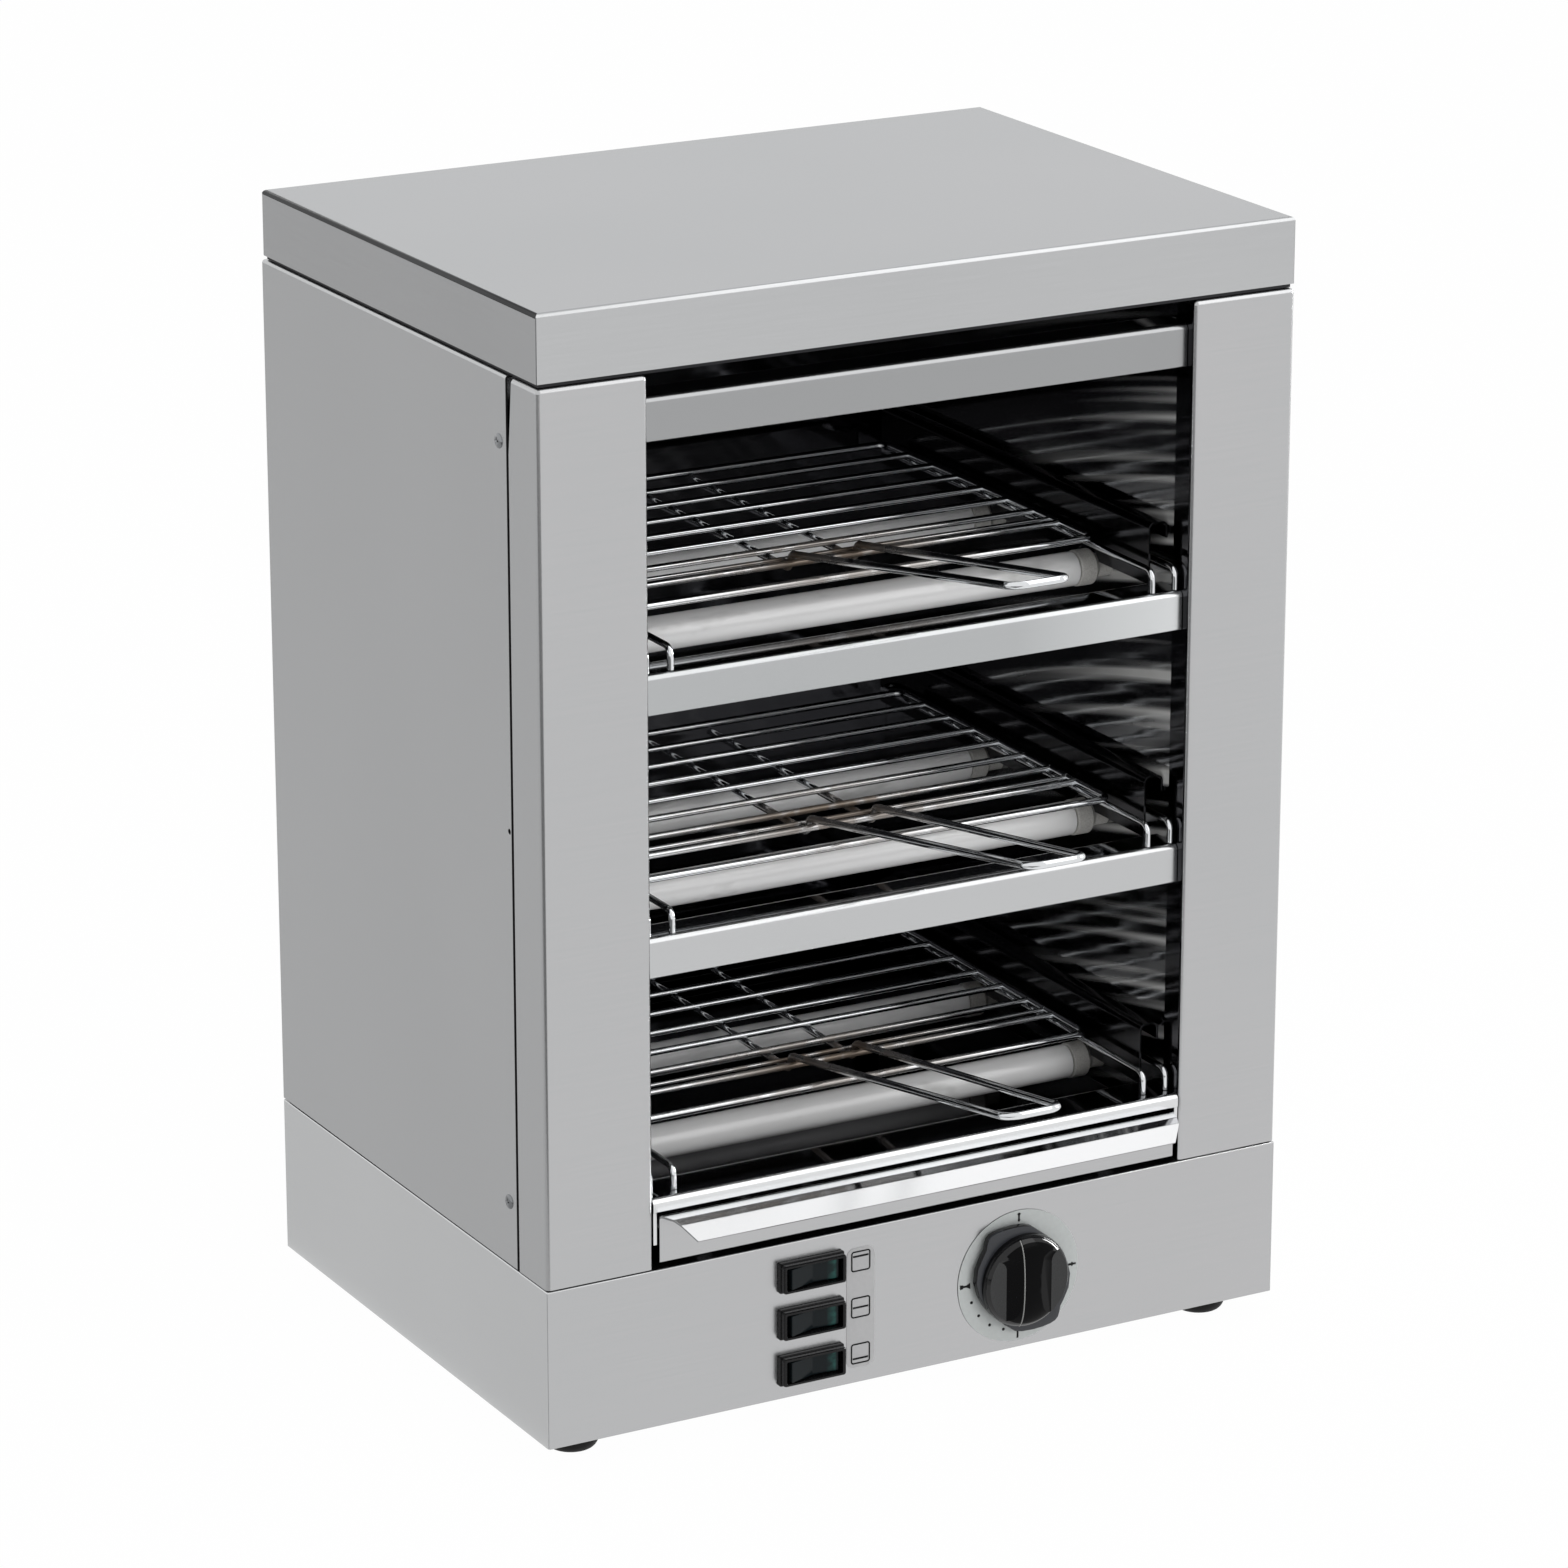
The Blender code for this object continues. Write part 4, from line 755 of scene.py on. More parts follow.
def bread_grid_tree():
    """A filleted frame wire, evenly pitched cross wires and a thin one, with a weld nugget at each end."""
    lengths = "HalfWidth Depth CornerRadius FirstWire Pitch ThinWireSetback "
    lengths += "FrameRadius CrossRadius ThinRadius NuggetRadius"
    tree, given = new_tree("bread_grid", lengths, Middle="Vector", Count="Int")
    half, depth = given["HalfWidth"], given["Depth"]
    size = {"Width": math_of(tree, "MULTIPLY", half, 2.0), "Height": depth}
    rectangle = add(tree, "GeometryNodeCurvePrimitiveQuadrilateral", size).outputs[0]
    corners = {"Curve": rectangle, "Count": 8, "Radius": given["CornerRadius"]}
    frame_path = add(tree, "GeometryNodeFilletCurve", corners, mode="POLY").outputs[0]
    parts = [round_bar(tree, frame_path, given["FrameRadius"])]

    minus = math_of(tree, "MULTIPLY", half, -1.0)
    span = {"Start": vector(tree, minus), "End": vector(tree, half)}
    line = add(tree, "GeometryNodeCurvePrimitiveLine", span).outputs[0]
    start = math_of(tree, "SUBTRACT", given["FirstWire"], math_of(tree, "MULTIPLY", depth, 0.5))
    pitch = {"Start Location": vector(tree, 0.0, start), "Offset": vector(tree, 0.0, given["Pitch"])}
    places = add(tree, "GeometryNodeMeshLine", {"Count": given["Count"], **pitch}).outputs[0]
    thin_start = vector(tree, 0.0, math_of(tree, "ADD", start, given["ThinWireSetback"]))
    thin_place = add(tree, "GeometryNodeMeshLine", {"Count": 1, "Start Location": thin_start}).outputs[0]
    ball = {"Radius": given["NuggetRadius"], "Subdivisions": 3}
    nugget = add(tree, "GeometryNodeMeshIcoSphere", ball).outputs[0]
    for points, radius in ((places, given["CrossRadius"]), (thin_place, given["ThinRadius"])):
        parts.append(on_points(tree, points, round_bar(tree, line, radius)))
        for end in (minus, half):
            spots = moved(tree, points, vector(tree, end))
            parts.append(on_points(tree, spots, nugget, Scale=(1.0, 1.25, 0.95)))
    return close_tree(tree, given, [moved(tree, joined(tree, parts), given["Middle"])])


def domed_screw_tree():
    """A domed head with a cross recess on each point of the start mesh, facing along its own direction."""
    tree, given = new_tree("domed_screws", "HeadRadius Rise SlotWidth")
    radius, rise, slot = given["HeadRadius"], given["Rise"], given["SlotWidth"]
    ball = add(tree, "GeometryNodeMeshUVSphere", {"Segments": 32, "Rings": 16, "Radius": radius}).outputs[0]
    flat = vector(tree, 1.0, 1.0, math_of(tree, "DIVIDE", rise, radius))
    dome = moved(tree, ball, (0, 0, 0), Scale=flat)
    head = add(tree, "GeometryNodeMeshBoolean", {0: dome}, operation="DIFFERENCE")
    for size in (vector(tree, radius, slot, rise), vector(tree, slot, radius, rise)):
        bar = add(tree, "GeometryNodeMeshCube", {"Size": size}).outputs[0]
        tree.links.new(moved(tree, bar, vector(tree, 0.0, 0.0, rise)), head.inputs[1])
    facing = add(tree, "GeometryNodeInputNamedAttribute", {"Name": "facing"}, data_type="FLOAT_VECTOR")
    turn = add(tree, "FunctionNodeAlignRotationToVector", {"Vector": facing.outputs[0]}, axis="Z")
    heads = on_points(tree, given["Geometry"], head.outputs[0], Rotation=turn.outputs[0])
    return close_tree(tree, given, [heads])


def dial_marks_tree():
    """Four ticks square to each other and a run of dots on an arc, round a centre, facing the front."""
    lengths = "TickRadius TickLength TickWidth DotArcRadius DotRadius DotStart DotSweep InkDepth"
    tree, given = new_tree("dial_marks", lengths, Centre="Vector", DotCount="Int")
    size = vector(tree, given["TickLength"], given["TickWidth"], given["InkDepth"])
    tick = add(tree, "GeometryNodeMeshCube", {"Size": size}).outputs[0]
    compass = {"Resolution": 4, "Radius": given["TickRadius"]}
    corners = add(tree, "GeometryNodeCurvePrimitiveCircle", compass).outputs[0]
    quarter = math_of(tree, "MULTIPLY", add(tree, "GeometryNodeInputIndex").outputs[0], math.pi / 2)
    ticks = on_points(tree, corners, tick, Rotation=vector(tree, 0.0, 0.0, quarter))
    arc_sizes = {
        "Resolution": given["DotCount"],
        "Radius": given["DotArcRadius"],
        "Start Angle": given["DotStart"],
        "Sweep Angle": given["DotSweep"],
    }
    arc = add(tree, "GeometryNodeCurveArc", arc_sizes).outputs[0]
    disc = {"Vertices": 20, "Radius": given["DotRadius"], "Depth": given["InkDepth"]}
    dots = on_points(tree, arc, add(tree, "GeometryNodeMeshCylinder", disc).outputs[0])
    upright = (math.radians(90), 0.0, 0.0)
    marks = moved(tree, joined(tree, [ticks, dots]), given["Centre"], Rotation=upright)
    return close_tree(tree, given, [marks])


BENT_WIRE = bent_wire_tree()
BREAD_GRID = bread_grid_tree()
DOMED_SCREWS = domed_screw_tree()
DIAL_MARKS = dial_marks_tree()


# Sheet pieces of the cabinet

def build_lid():
    """The folded lid, with its four cut corners."""
    bottom, top = low("top_cover"), high("top_cover")
    lid = folded("folded_lid", bottom, top, LID_BEND, SATIN_LID)
    lid = smooth(pierce(lid, corner_slits(bottom, top, LID_BEND)))
    # Painted shade: the lid's top gets a darker copy of its steel, and its sides another tone.
    faced(lid, SATIN_LID_TOP, lambda face: face.normal.z > 0.9)
    faced(lid, SATIN_LID_SIDE, lambda face: abs(face.normal.x) > 0.7)
    # Painted shade: the bends over the lid's sides get a dark line.
    faced(lid, BEND_PAINTED_SHADE, lambda face: abs(face.normal.x) > 0.3 and face.normal.z > 0.1)
    carried(lid, "steel", "top_cover")


def build_base():
    """The base box with its control and gland holes, and two pressed beads that carry the tray."""
    bottom, top = low("base_housing"), high("base_housing")
    sheet_top = Vector((top.x, top.y, BASE_TOP))
    base = folded("folded_base", bottom, sheet_top, BASE_BEND, SATIN_FRONT)
    cutters = corner_slits(bottom, sheet_top, BASE_BEND)
    for number in SWITCHES:
        centre = middle(f"switch_body_{number}")
        centre.y = FRONT
        shape = box_shape(centre - SWITCH_CUTOUT_HALF, centre + SWITCH_CUTOUT_HALF)
        cutters.append(piece_of("switch_cutout", shape, BLACK))
    holes = (("dial_plate", SPINDLE_HOLE_RADIUS, FRONT), ("cable_gland", GLAND_HOLE_RADIUS, BACK))
    for node, radius, wall in holes:
        start = (middle(node).x, wall - BASE_DRILL / 2, middle(node).z)
        cutters.append(drill("round_hole", radius, BASE_DRILL, start, TO_BACK, 32))
    pierce(base, cutters)
    beads = []
    for side_name, side in SIDES:
        start = (side * BEAD_X - BEAD_HALF_WIDTH, FRONT + BEAD_FROM_END, BASE_TOP - SHEET / 2)
        end = (side * BEAD_X + BEAD_HALF_WIDTH, BACK - BEAD_FROM_END, top.z)
        beads.append(block(f"tray_bead_{side_name}", start, end, SATIN_FRONT, 0.001))
    # Painted light: the base's sides get a lighter copy of its steel.
    base = faced(smooth(base), SATIN_BASE_SIDE, lambda face: abs(face.normal.x) > 0.7)
    carried(merged("base_box", [base, *beads]), "steel", "base_housing")


def build_columns():
    """The front columns: sheet folded round the corner, into the opening, and over at the top."""
    for side_name, side in SIDES:
        node = f"{side_name}_front_column"
        bottom, top = low(node), high(node)
        shape = box_shape(bottom, top)
        gone = [face for face in shape.faces if face.normal.y > 0.9 or face.normal.z < -0.9]
        bmesh.ops.delete(shape, geom=gone, context="FACES")
        for corner in shape.verts:
            if corner.co.y > bottom.y + SHEET and abs(corner.co.x) < OPENING_HALF + SHEET:
                corner.co.y = FRONT + RETURN_DEPTH
        bend_edges(shape, [edge for edge in shape.edges if len(edge.link_faces) == 2], COLUMN_BEND)
        column = thicken(piece_of(f"{side_name}_column", shape, SATIN_FRONT))
        cut = [
            (top.y + SHEET, top.z + SHEET),
            (top.y - SEAM_WEDGE, top.z + SHEET),
            (top.y, top.z - SEAM_WEDGE_LENGTH),
            (top.y + SHEET, top.z - SEAM_WEDGE_LENGTH),
        ]
        ends = (side * (HALF_WIDTH + SHEET), side * (HALF_WIDTH - SHEET * 3))
        wedge = skin([[(x, y, z) for y, z in cut] for x in ends])
        column = smooth(pierce(column, [piece_of("seam_wedge", wedge, SATIN_FRONT)]))
        # Painted light: the column's outer side gets the lighter side copy of the steel.
        faced(column, SATIN_SIDE, lambda face: face.normal.x * side > 0.9)
        # Painted shade: the returns into the opening get the dark wall steel.
        carried(faced(column, DARK_WALL, lambda face: face.normal.x * side < -0.9), "steel", node)


def build_side_panels():
    """The screwed-on side sheets, with their top flange and peg hole."""
    for side_name, side in SIDES:
        node = f"{side_name}_side_panel"
        bottom, top = low(node), high(node)
        outer = side * HALF_WIDTH
        outline = [(side * (HALF_WIDTH - PANEL_FLANGE), top.z), (outer, top.z), (outer, bottom.z)]
        edge_y = bottom.y + SEAM_EXTRA
        ends = (edge_y, top.y)[::-side]
        panel = swept_sheet(f"{side_name}_panel", rounded(outline, PANEL_BEND), ends, SATIN_SIDE, along="Y")
        start = (outer + side * PEG_DRILL / 2, bottom.y + PEG_HOLE_SETBACK, (bottom.z + top.z) / 2)
        pierce(panel, [drill("peg_hole", PEG_HOLE_RADIUS, PEG_DRILL, start, (-side, 0, 0), 24)])
        # The panel's front cut edge is painted near black, as painted shade in the seam.
        panel = faced(trimmed(panel), CUT_EDGE, lambda face: face.center.y < edge_y + 0.0002)
        carried(panel, "steel", node)


def build_rear_panel():
    """The back wall, painted dark inside for the chamber's shade, and the ceiling pan's lip, which closes the
    gap above it.
    """
    wall = smooth(soften(copied("slotted_back_wall", "rear_panel", SATIN_LID), 0.0001, 1))
    carried(faced(wall, DARK_WALL, lambda face: face.normal.y < -0.5), "steel", "rear_panel")
    behind = low("rear_panel").y - SEAT
    foot = high("rear_panel").z - PAN_LIP_OVERLAP
    inner, outer = low("right_chamber_liner").x - SEAT, high("right_chamber_liner").x + SEAT
    reach = HALF_WIDTH - PAN_LIP_FROM_SIDE
    lips = []
    for start, end in ((-reach, -outer), (-inner, inner), (outer, reach)):
        corner, opposite = (start, behind - SHEET, foot), (end, behind, low("chamber_ceiling").z)
        # The lips are painted dark, as painted shade in the gap.
        lips.append(block("pan_lip", corner, opposite, CEILING_STEEL, 0.0002))
    carried(merged("ceiling_pan_lip", lips), "steel")


def build_rails():
    """The channel-shaped rails between the columns, and the sill with a short leg at each end."""
    for node, material in RAIL_FINISHES.items():
        bottom, top = low(node), high(node)
        if node == "front_sill":
            bottom.y = FRONT + SILL_SETBACK
            bottom.z -= SILL_DROP
        outline = [
            (bottom.y + RAIL_LOWER_FLANGE, bottom.z),
            (bottom.y, bottom.z),
            (bottom.y, top.z),
            (top.y, top.z),
            (top.y, top.z - RAIL_LIP),
        ]
        path = rounded(outline, (0, RAIL_LOWER_BEND, RAIL_BEND, RAIL_BEND, 0))
        rail = trimmed(swept_sheet(f"{node}_sheet", path, (bottom.x, top.x), material), 0.0001)
        behind = bottom.y + RAIL_BEND * 1.2
        faced(rail, CHAMBER_MIRROR, lambda face: face.normal.z > 0.98 or face.center.y > behind)
        if node == "front_sill":
            legs = []
            for side_name, side in SIDES:
                near, far = sorted((side * (top.x - SILL_LEG_WIDTH), side * top.x))
                start = (near, bottom.y + SEAT, bottom.z - SILL_LEG_DROP)
                end = (far, bottom.y + SEAT + SHEET, bottom.z + SHEET)
                legs.append(block(f"sill_leg_{side_name}", start, end, material, 0.0002))
            rail = merged(f"{node}_sheet", [rail, *legs])
        carried(rail, "steel", node)


def build_tray():
    """The crumb tray with its flange and tapered pull lip. Its inside is painted dark, as painted shade."""
    node = "crumb_tray"
    bottom, top = low(node), high(node)
    flange_y, lip_y = FRONT - TRAY_FLANGE_REACH, FRONT - TRAY_LIP_REACH
    flange_z, wall_top = bottom.z + TRAY_FLANGE_HEIGHT, bottom.z + TRAY_WALL_HEIGHT

    def ends(y):
        over_flange = min(max((FRONT - y) / (FRONT - flange_y), 0), 1) * TRAY_FLANGE_TAPER
        over_lip = max((flange_y - y) / (flange_y - lip_y), 0) * TRAY_LIP_TAPER
        reach = top.x - over_flange - over_lip
        return -reach, reach

    outline = [
        (top.y, wall_top),
        (top.y, bottom.z),
        (FRONT, bottom.z),
        (FRONT, flange_z),
        (flange_y + 0.0040, flange_z),
        (flange_y, flange_z - 0.0013),
        (lip_y, flange_z - 0.0076),
    ]
    sheet = trimmed(swept_sheet("tray_sheet", rounded(outline, TRAY_BEND), ends, SATIN_FRONT))
    faced(sheet, TRAY_FLANGE, lambda face: face.normal.z > 0.95 and face.center.y < FRONT + TRAY_BEND)
    # Painted shade: the tray's inside and its side walls get the dark wall steel.
    faced(sheet, DARK_WALL, lambda face: face.center.y > FRONT + SHEET * 0.8)
    walls = []
    for side_name, side in SIDES:
        low_x, high_x = sorted((side * (top.x - SHEET), side * top.x))
        start = (low_x, FRONT + SHEET / 2, bottom.z + SHEET / 2)
        end = (high_x, top.y - SHEET / 2, wall_top)
        walls.append(block(f"tray_wall_{side_name}", start, end, DARK_WALL, 0.0002))
    carried(merged("folded_tray", [sheet, *walls]), "steel", node, body="tray")


# Grids, runners and heaters

def bent_wire(name, points, radius, material=CHROME):
    """A round wire through points."""
    mesh = bpy.data.meshes.new("path")
    mesh.from_pydata([tuple(point) for point in points], [(i, i + 1) for i in range(len(points) - 1)], [])
    return grown(name, BENT_WIRE, mesh, WireRadius=radius, Material=material)


def build_runner(level, side_name, side):
    """A folded side plate, notched over the tubes, and the hairpin of wire that a grid slides on."""
    node = f"{level}_{side_name}_runner"
    base, top = RAIL_TOPS[level], high(node)
    outline = [
        (side * RUNNER_PLATE_X, base + SEAT),
        (side * RUNNER_PLATE_X, top.z),
        (side * RUNNER_OUTER_X, top.z),
        (side * RUNNER_OUTER_X, top.z - RUNNER_LIP),
    ]
    ends = (RAIL_FRONT + RUNNER_SETBACK, top.y)[::-side]
    plate = swept_sheet(f"{node}_plate", rounded(outline, RAIL_BEND), ends, RUNNER_STEEL, along="Y")
    cutters = []
    for tube in TUBES:
        centre = middle(f"{level}_{tube}_heater_tube")
        start = (side * (RUNNER_PLATE_X - NOTCH_DRILL / 2), centre.y, centre.z)
        cutters.append(drill("tube_notch", TUBE_NOTCH_RADIUS, NOTCH_DRILL, start, (side, 0, 0), 40))
    plate = trimmed(pierce(plate, cutters))
    height = base + GUIDE_RISE
    turn_y = top.y - GUIDE_REAR_INSET - GUIDE_SPACING / 2
    foot = (RAIL_FRONT + GUIDE_FOOT_SETBACK, base + SEAT)
    leg = rounded([foot, (foot[0], height), (turn_y, height)], GUIDE_BEND)[:-1]
    path = [Vector((side * GUIDE_X, *point)) for point in leg]
    for step in range(BEND_STEPS * 3 + 1):
        angle = math.pi * step / (BEND_STEPS * 3)
        across = GUIDE_X + GUIDE_SPACING / 2 * (1 - math.cos(angle))
        path.append(Vector((side * across, turn_y + GUIDE_SPACING / 2 * math.sin(angle), height)))
    path += [Vector((side * (GUIDE_X + GUIDE_SPACING), *point)) for point in reversed(leg)]
    wire = bent_wire(f"{node}_wire", path, GUIDE_WIRE)
    carried(merged(f"{level}_{side_name}_slide_runner", [plate, wire]), "polished_steel", node)


def build_grid(level):
    """A bread grid of welded wires, and its handle, whose tails hook over the first two wires."""
    node, body = f"{level}_bread_grid", f"{level}_grid"
    bottom, top = low(node), high(node)
    first = bottom.y + FRAME_WIRE + FIRST_WIRE
    grid = grown(
        f"{level}_wire_grid",
        BREAD_GRID,
        HalfWidth=(top.x - bottom.x) / 2 - FRAME_WIRE,
        Depth=top.y - bottom.y - 2 * FRAME_WIRE,
        Middle=tuple(middle(node)),
        CornerRadius=GRID_CORNER,
        FirstWire=FIRST_WIRE,
        Pitch=WIRE_PITCH,
        Count=CROSS_WIRE_COUNT,
        ThinWireSetback=THIN_WIRE_SETBACK,
        FrameRadius=FRAME_WIRE,
        CrossRadius=CROSS_WIRE,
        ThinRadius=THIN_WIRE,
        NuggetRadius=WELD_NUGGET,
        Material=CHROME,
    )
    carried(grid, "chromed_wire", node, body=body)
    turn = FRAME_WIRE + HANDLE_WIRE + SEAT
    hook = first + THIN_WIRE_SETBACK
    steepest = math.asin(turn * 2 / THIN_WIRE_SETBACK)
    leg = [(top.y - FRAME_WIRE, -turn), (hook + HANDLE_TAIL, -turn)]
    for centre, sign, start, end in ((hook, -1, 0, steepest), (first, 1, steepest, HANDLE_SLOPE)):
        for step in range(BEND_STEPS + 1):
            heading = start + (end - start) * step / BEND_STEPS
            leg.append((centre + sign * turn * math.sin(heading), sign * turn * math.cos(heading)))
    root_y, root_z = leg[-1]
    tip = (root_y - HANDLE_REACH, root_z + HANDLE_REACH * math.tan(HANDLE_SLOPE))
    corners = [
        Vector((-HANDLE_ROOT_X, root_y, root_z)),
        Vector((-HANDLE_END_X, *tip)),
        Vector((HANDLE_END_X, *tip)),
        Vector((HANDLE_ROOT_X, root_y, root_z)),
    ]
    path = [Vector((-HANDLE_ROOT_X, y, z)) for y, z in leg]
    path += [corners[0].lerp(corners[1], share) for share in HANDLE_SHARES]
    path += rounded(corners, HANDLE_CORNER)[1:-1]
    path += [corners[3].lerp(corners[2], share) for share in reversed(HANDLE_SHARES)]
    path += [Vector((HANDLE_ROOT_X, y, z)) for y, z in reversed(leg)]
    path = [point + Vector((0, 0, middle(node).z)) for point in path]
    handle = bent_wire(f"{level}_handle", path, HANDLE_WIRE)
    carried(handle, "chromed_wire", f"{level}_grid_handle", body=body)


# A ceramic cap's profile from the tip of its wide end: radius and place along its axis.
CAP_PROFILE = ((0, 0), (0.0084, 0), (0.0084, 0.008), (0.0055, 0.011), (0.0055, 0.028), (0, 0.028))


def build_heaters(level):
    """Quartz tubes with fire-polished ends, each in two fired ceramic caps."""
    for tube in TUBES:
        node = f"{level}_{tube}_heater_tube"
        bottom, top, centre = low(node), high(node), middle(node)
        radius, length = (top.z - bottom.z) / 2, top.x - bottom.x
        profile = rounded([(0, 0), (radius, 0), (radius, length), (0, length)], 0.0008, 3)
        start = (bottom.x, centre.y, centre.z)
        quartz = turned(f"{level}_{tube}_quartz_tube", profile, start, (1, 0, 0), QUARTZ, 64)
        carried(quartz, "quartz", node)
        for side_name, side in SIDES:
            name = f"{level}_{tube}_{side_name}"
            tip = low(f"{name}_cap").x if side > 0 else high(f"{name}_cap").x
            start = (tip, centre.y, centre.z)
            cap = turned(f"{name}_ceramic", rounded(CAP_PROFILE, 0.0007, 3), start, (side, 0, 0), CERAMIC, 40)
            carried(cap, "ceramic", f"{name}_cap")


# Controls

INK_DEPTH = 0.00012


def build_switch(number):
    """A switch body: flange, rounded rim and well. Its rocker sits in the well."""
    node = f"switch_body_{number}"
    bottom, top = low(node), high(node)
    centre = ((bottom.x + top.x) / 2, (bottom.z + top.z) / 2)
    face, rim = FRONT - SEAT, bottom.y
    sizes = (
        (14.5, 6.25, 0.3, top.y),
        (14.5, 6.25, 0.3, face),
        (16.4, 7.1, 0.5, face),
        (16.6, 7.3, 0.7, face - 0.0002),
        (16.6, 7.3, 0.7, face - 0.0014),
        (16.45, 7.15, 0.7, face - 0.0018),
        (16.0, 6.7, 0.9, face - 0.0019),
        (16.0, 6.7, 1.1, rim + 0.0009),
        (15.85, 6.55, 1.1, rim + 0.0003),
        (15.55, 6.25, 1.0, rim),
        (14.75, 5.45, 0.7, rim),
        (14.35, 5.3, 0.5, rim + 0.0003),
        (14.3, 5.28, 0.4, face + 0.0058),
    )
    loops = [ring(x / 1000, z / 1000, corner / 1000, centre, y) for x, z, corner, y in sizes]
    carried(lofted(f"switch_bezel_{number}", loops, BLACK), "black_plastic", node)
    node = f"rocker_{number}"
    rocker = smooth(soften(copied(f"smoky_{node}", node, ROCKER), 0.00045, 3, math.radians(8)))
    carried(rocker, "rocker_lens", node, body=node)


def inked(name, outline, centre, y):
    """A flat printed shape, given by points in millimetres across and up from a centre."""
    loops = []
    for place in (y, y - INK_DEPTH):
        loops.append([Vector((centre[0] + x / 1000, place, centre[1] + z / 1000)) for x, z in outline])
    return lofted(name, loops, INK)


def line_frame(name, half, corner, line, centre, y):
    """A printed outline of a rounded square."""
    outer, inner = (half, half, corner), (half - line, half - line, max(corner - line, 0.0002))
    sizes = ((outer, y), (outer, y - INK_DEPTH), (inner, y - INK_DEPTH), (inner, y))
    return lofted(name, [ring(*size, centre, place) for size, place in sizes], INK, hollow=True)


def build_label():
    """The film strip beside the switches, with a rack pictogram for each: top, middle or bottom level."""
    left, right, bottom, top = -0.0390, -0.0245, 0.0193, 0.0776
    centre = ((left + right) / 2, (bottom + top) / 2)
    half_x, half_z, corner = (right - left) / 2, (top - bottom) / 2, 0.004
    back, edge = FRONT - 0.00002, 0.00006
    front = back - 0.00016
    loops = [
        ring(half_x, half_z, corner, centre, back),
        ring(half_x, half_z, corner, centre, front + 0.00004),
        ring(half_x - edge, half_z - edge, corner, centre, front),
    ]
    carried(lofted("label_film", loops, LABEL_FILM), "printed_dial")
    marks = []
    for number in SWITCHES:
        node = f"switch_body_{number}"
        place = (centre[0], (low(node).z + high(node).z) / 2)
        marks.append(line_frame(f"rack_outline_{number}", 0.0050, 0.0014, 0.0007, place, front))
        level = (2 - number) * 2.4
        bar = [(-4.0, level - 0.45), (4.0, level - 0.45), (4.0, level + 0.45), (-4.0, level + 0.45)]
        marks.append(inked(f"rack_level_{number}", bar, place, front))
    carried(merged("rack_pictograms", marks), "black_plastic")


# The knob's skirt, seen from the front: reach in millimetres by degrees clockwise from the top, twice round.
KNOB_OUTLINE = (
    (0, 26.2), (9, 25.6), (20, 23.6), (35, 22.5), (50, 22.3), (65, 22.9), (80, 24.0), (95, 25.4),
    (110, 26.2), (124, 26.4), (131, 26.8), (136, 28.4), (140, 29.6), (144, 29.9), (149, 29.4),
    (157, 28.3), (168, 27.0),
)
# Each level of the skirt: depth in front of the dial in millimetres, and share of the reach.
KNOB_SKIRT = ((0.0, 0.98), (0.5, 1.0), (2.6, 1.0), (3.3, 0.985), (3.6, 0.95), (3.7, 0.86))
# The shaft and the foot of the dome: radius and depth in metres.
KNOB_SHAFT = [(0, -0.014), (0.0027, -0.014), (0.0030, -0.0137), (0.0030, 0.0005), (0.0224, 0.0030)]
# The knob's dome and its grip, in millimetres in front of the dial or from the axis.
DOME_RADIUS = 22.4
DOME_START = 3.8
DOME_RISE = 8.2
DOME_POWER = 2.6
DOME_STEPS = 14
SCOOP_FLOOR = 8.2
SCOOP_TOP = 13.0
SCOOP_REACH = 27.0
SCOOP_FOOT = -26.0
GRIP_FOOT = 12.0
GRIP_EDGE = 4.7
INDEX_X = -4.5
INDEX_HALF = 21


def dome_depth(reach):
    """Depth of the knob's dome at a distance from its axis, both in millimetres."""
    return DOME_START + DOME_RISE * max(1 - (reach / DOME_RADIUS) ** DOME_POWER, 0) ** (1 / DOME_POWER)


def build_dial():
    """The dial plate with its printed marks."""
    bottom, top, centre = low("dial_plate"), high("dial_plate"), middle("dial_plate")
    radius, bore, film = (top.z - bottom.z) / 2, 0.0036, 0.00014
    outline = [(bore, 0), (radius, 0), (radius, film * 0.4), (radius - 0.0003, film), (bore, film)]
    plate = turned("dial_disc", outline, (centre.x, top.y, centre.z), TO_FRONT, DIAL_FILM, 128, closed=True)
    carried(plate, "printed_dial", "dial_plate")
    ink_y = top.y - film
    marks = grown(
        "dial_marks",
        DIAL_MARKS,
        Centre=(centre.x, ink_y, centre.z),
        TickRadius=0.0288,
        TickLength=0.0040,
        TickWidth=0.0010,
        DotArcRadius=0.0262,
        DotRadius=0.00075,
        DotCount=4,
        DotStart=math.radians(199),
        DotSweep=math.radians(54),
        InkDepth=0.00016,
        Material=INK,
    )
    outlines = {
        "start_head": [(-1.0, 30.4), (0, 28.8), (1.0, 30.4)],
        "start_foot": [(-0.8, 27.4), (0, 26.2), (0.8, 27.4)],
        "warm_wedge": [(-28.6, 0.0), (-25.6, -1.5), (-25.6, 1.5)],
        "warm_spot": [(-31.0, -1.1), (-29.3, -0.9), (-29.3, 0.9), (-31.0, 1.1)],
        "long_spot": [(27.6, 0.0), (28.7, -1.1), (29.8, 0.0), (28.7, 1.1)],
    }
    drawn = [inked(name, outline, (centre.x, centre.z), ink_y) for name, outline in outlines.items()]
    carried(merged("printed_dial_marks", [marks, *drawn]), "black_plastic")


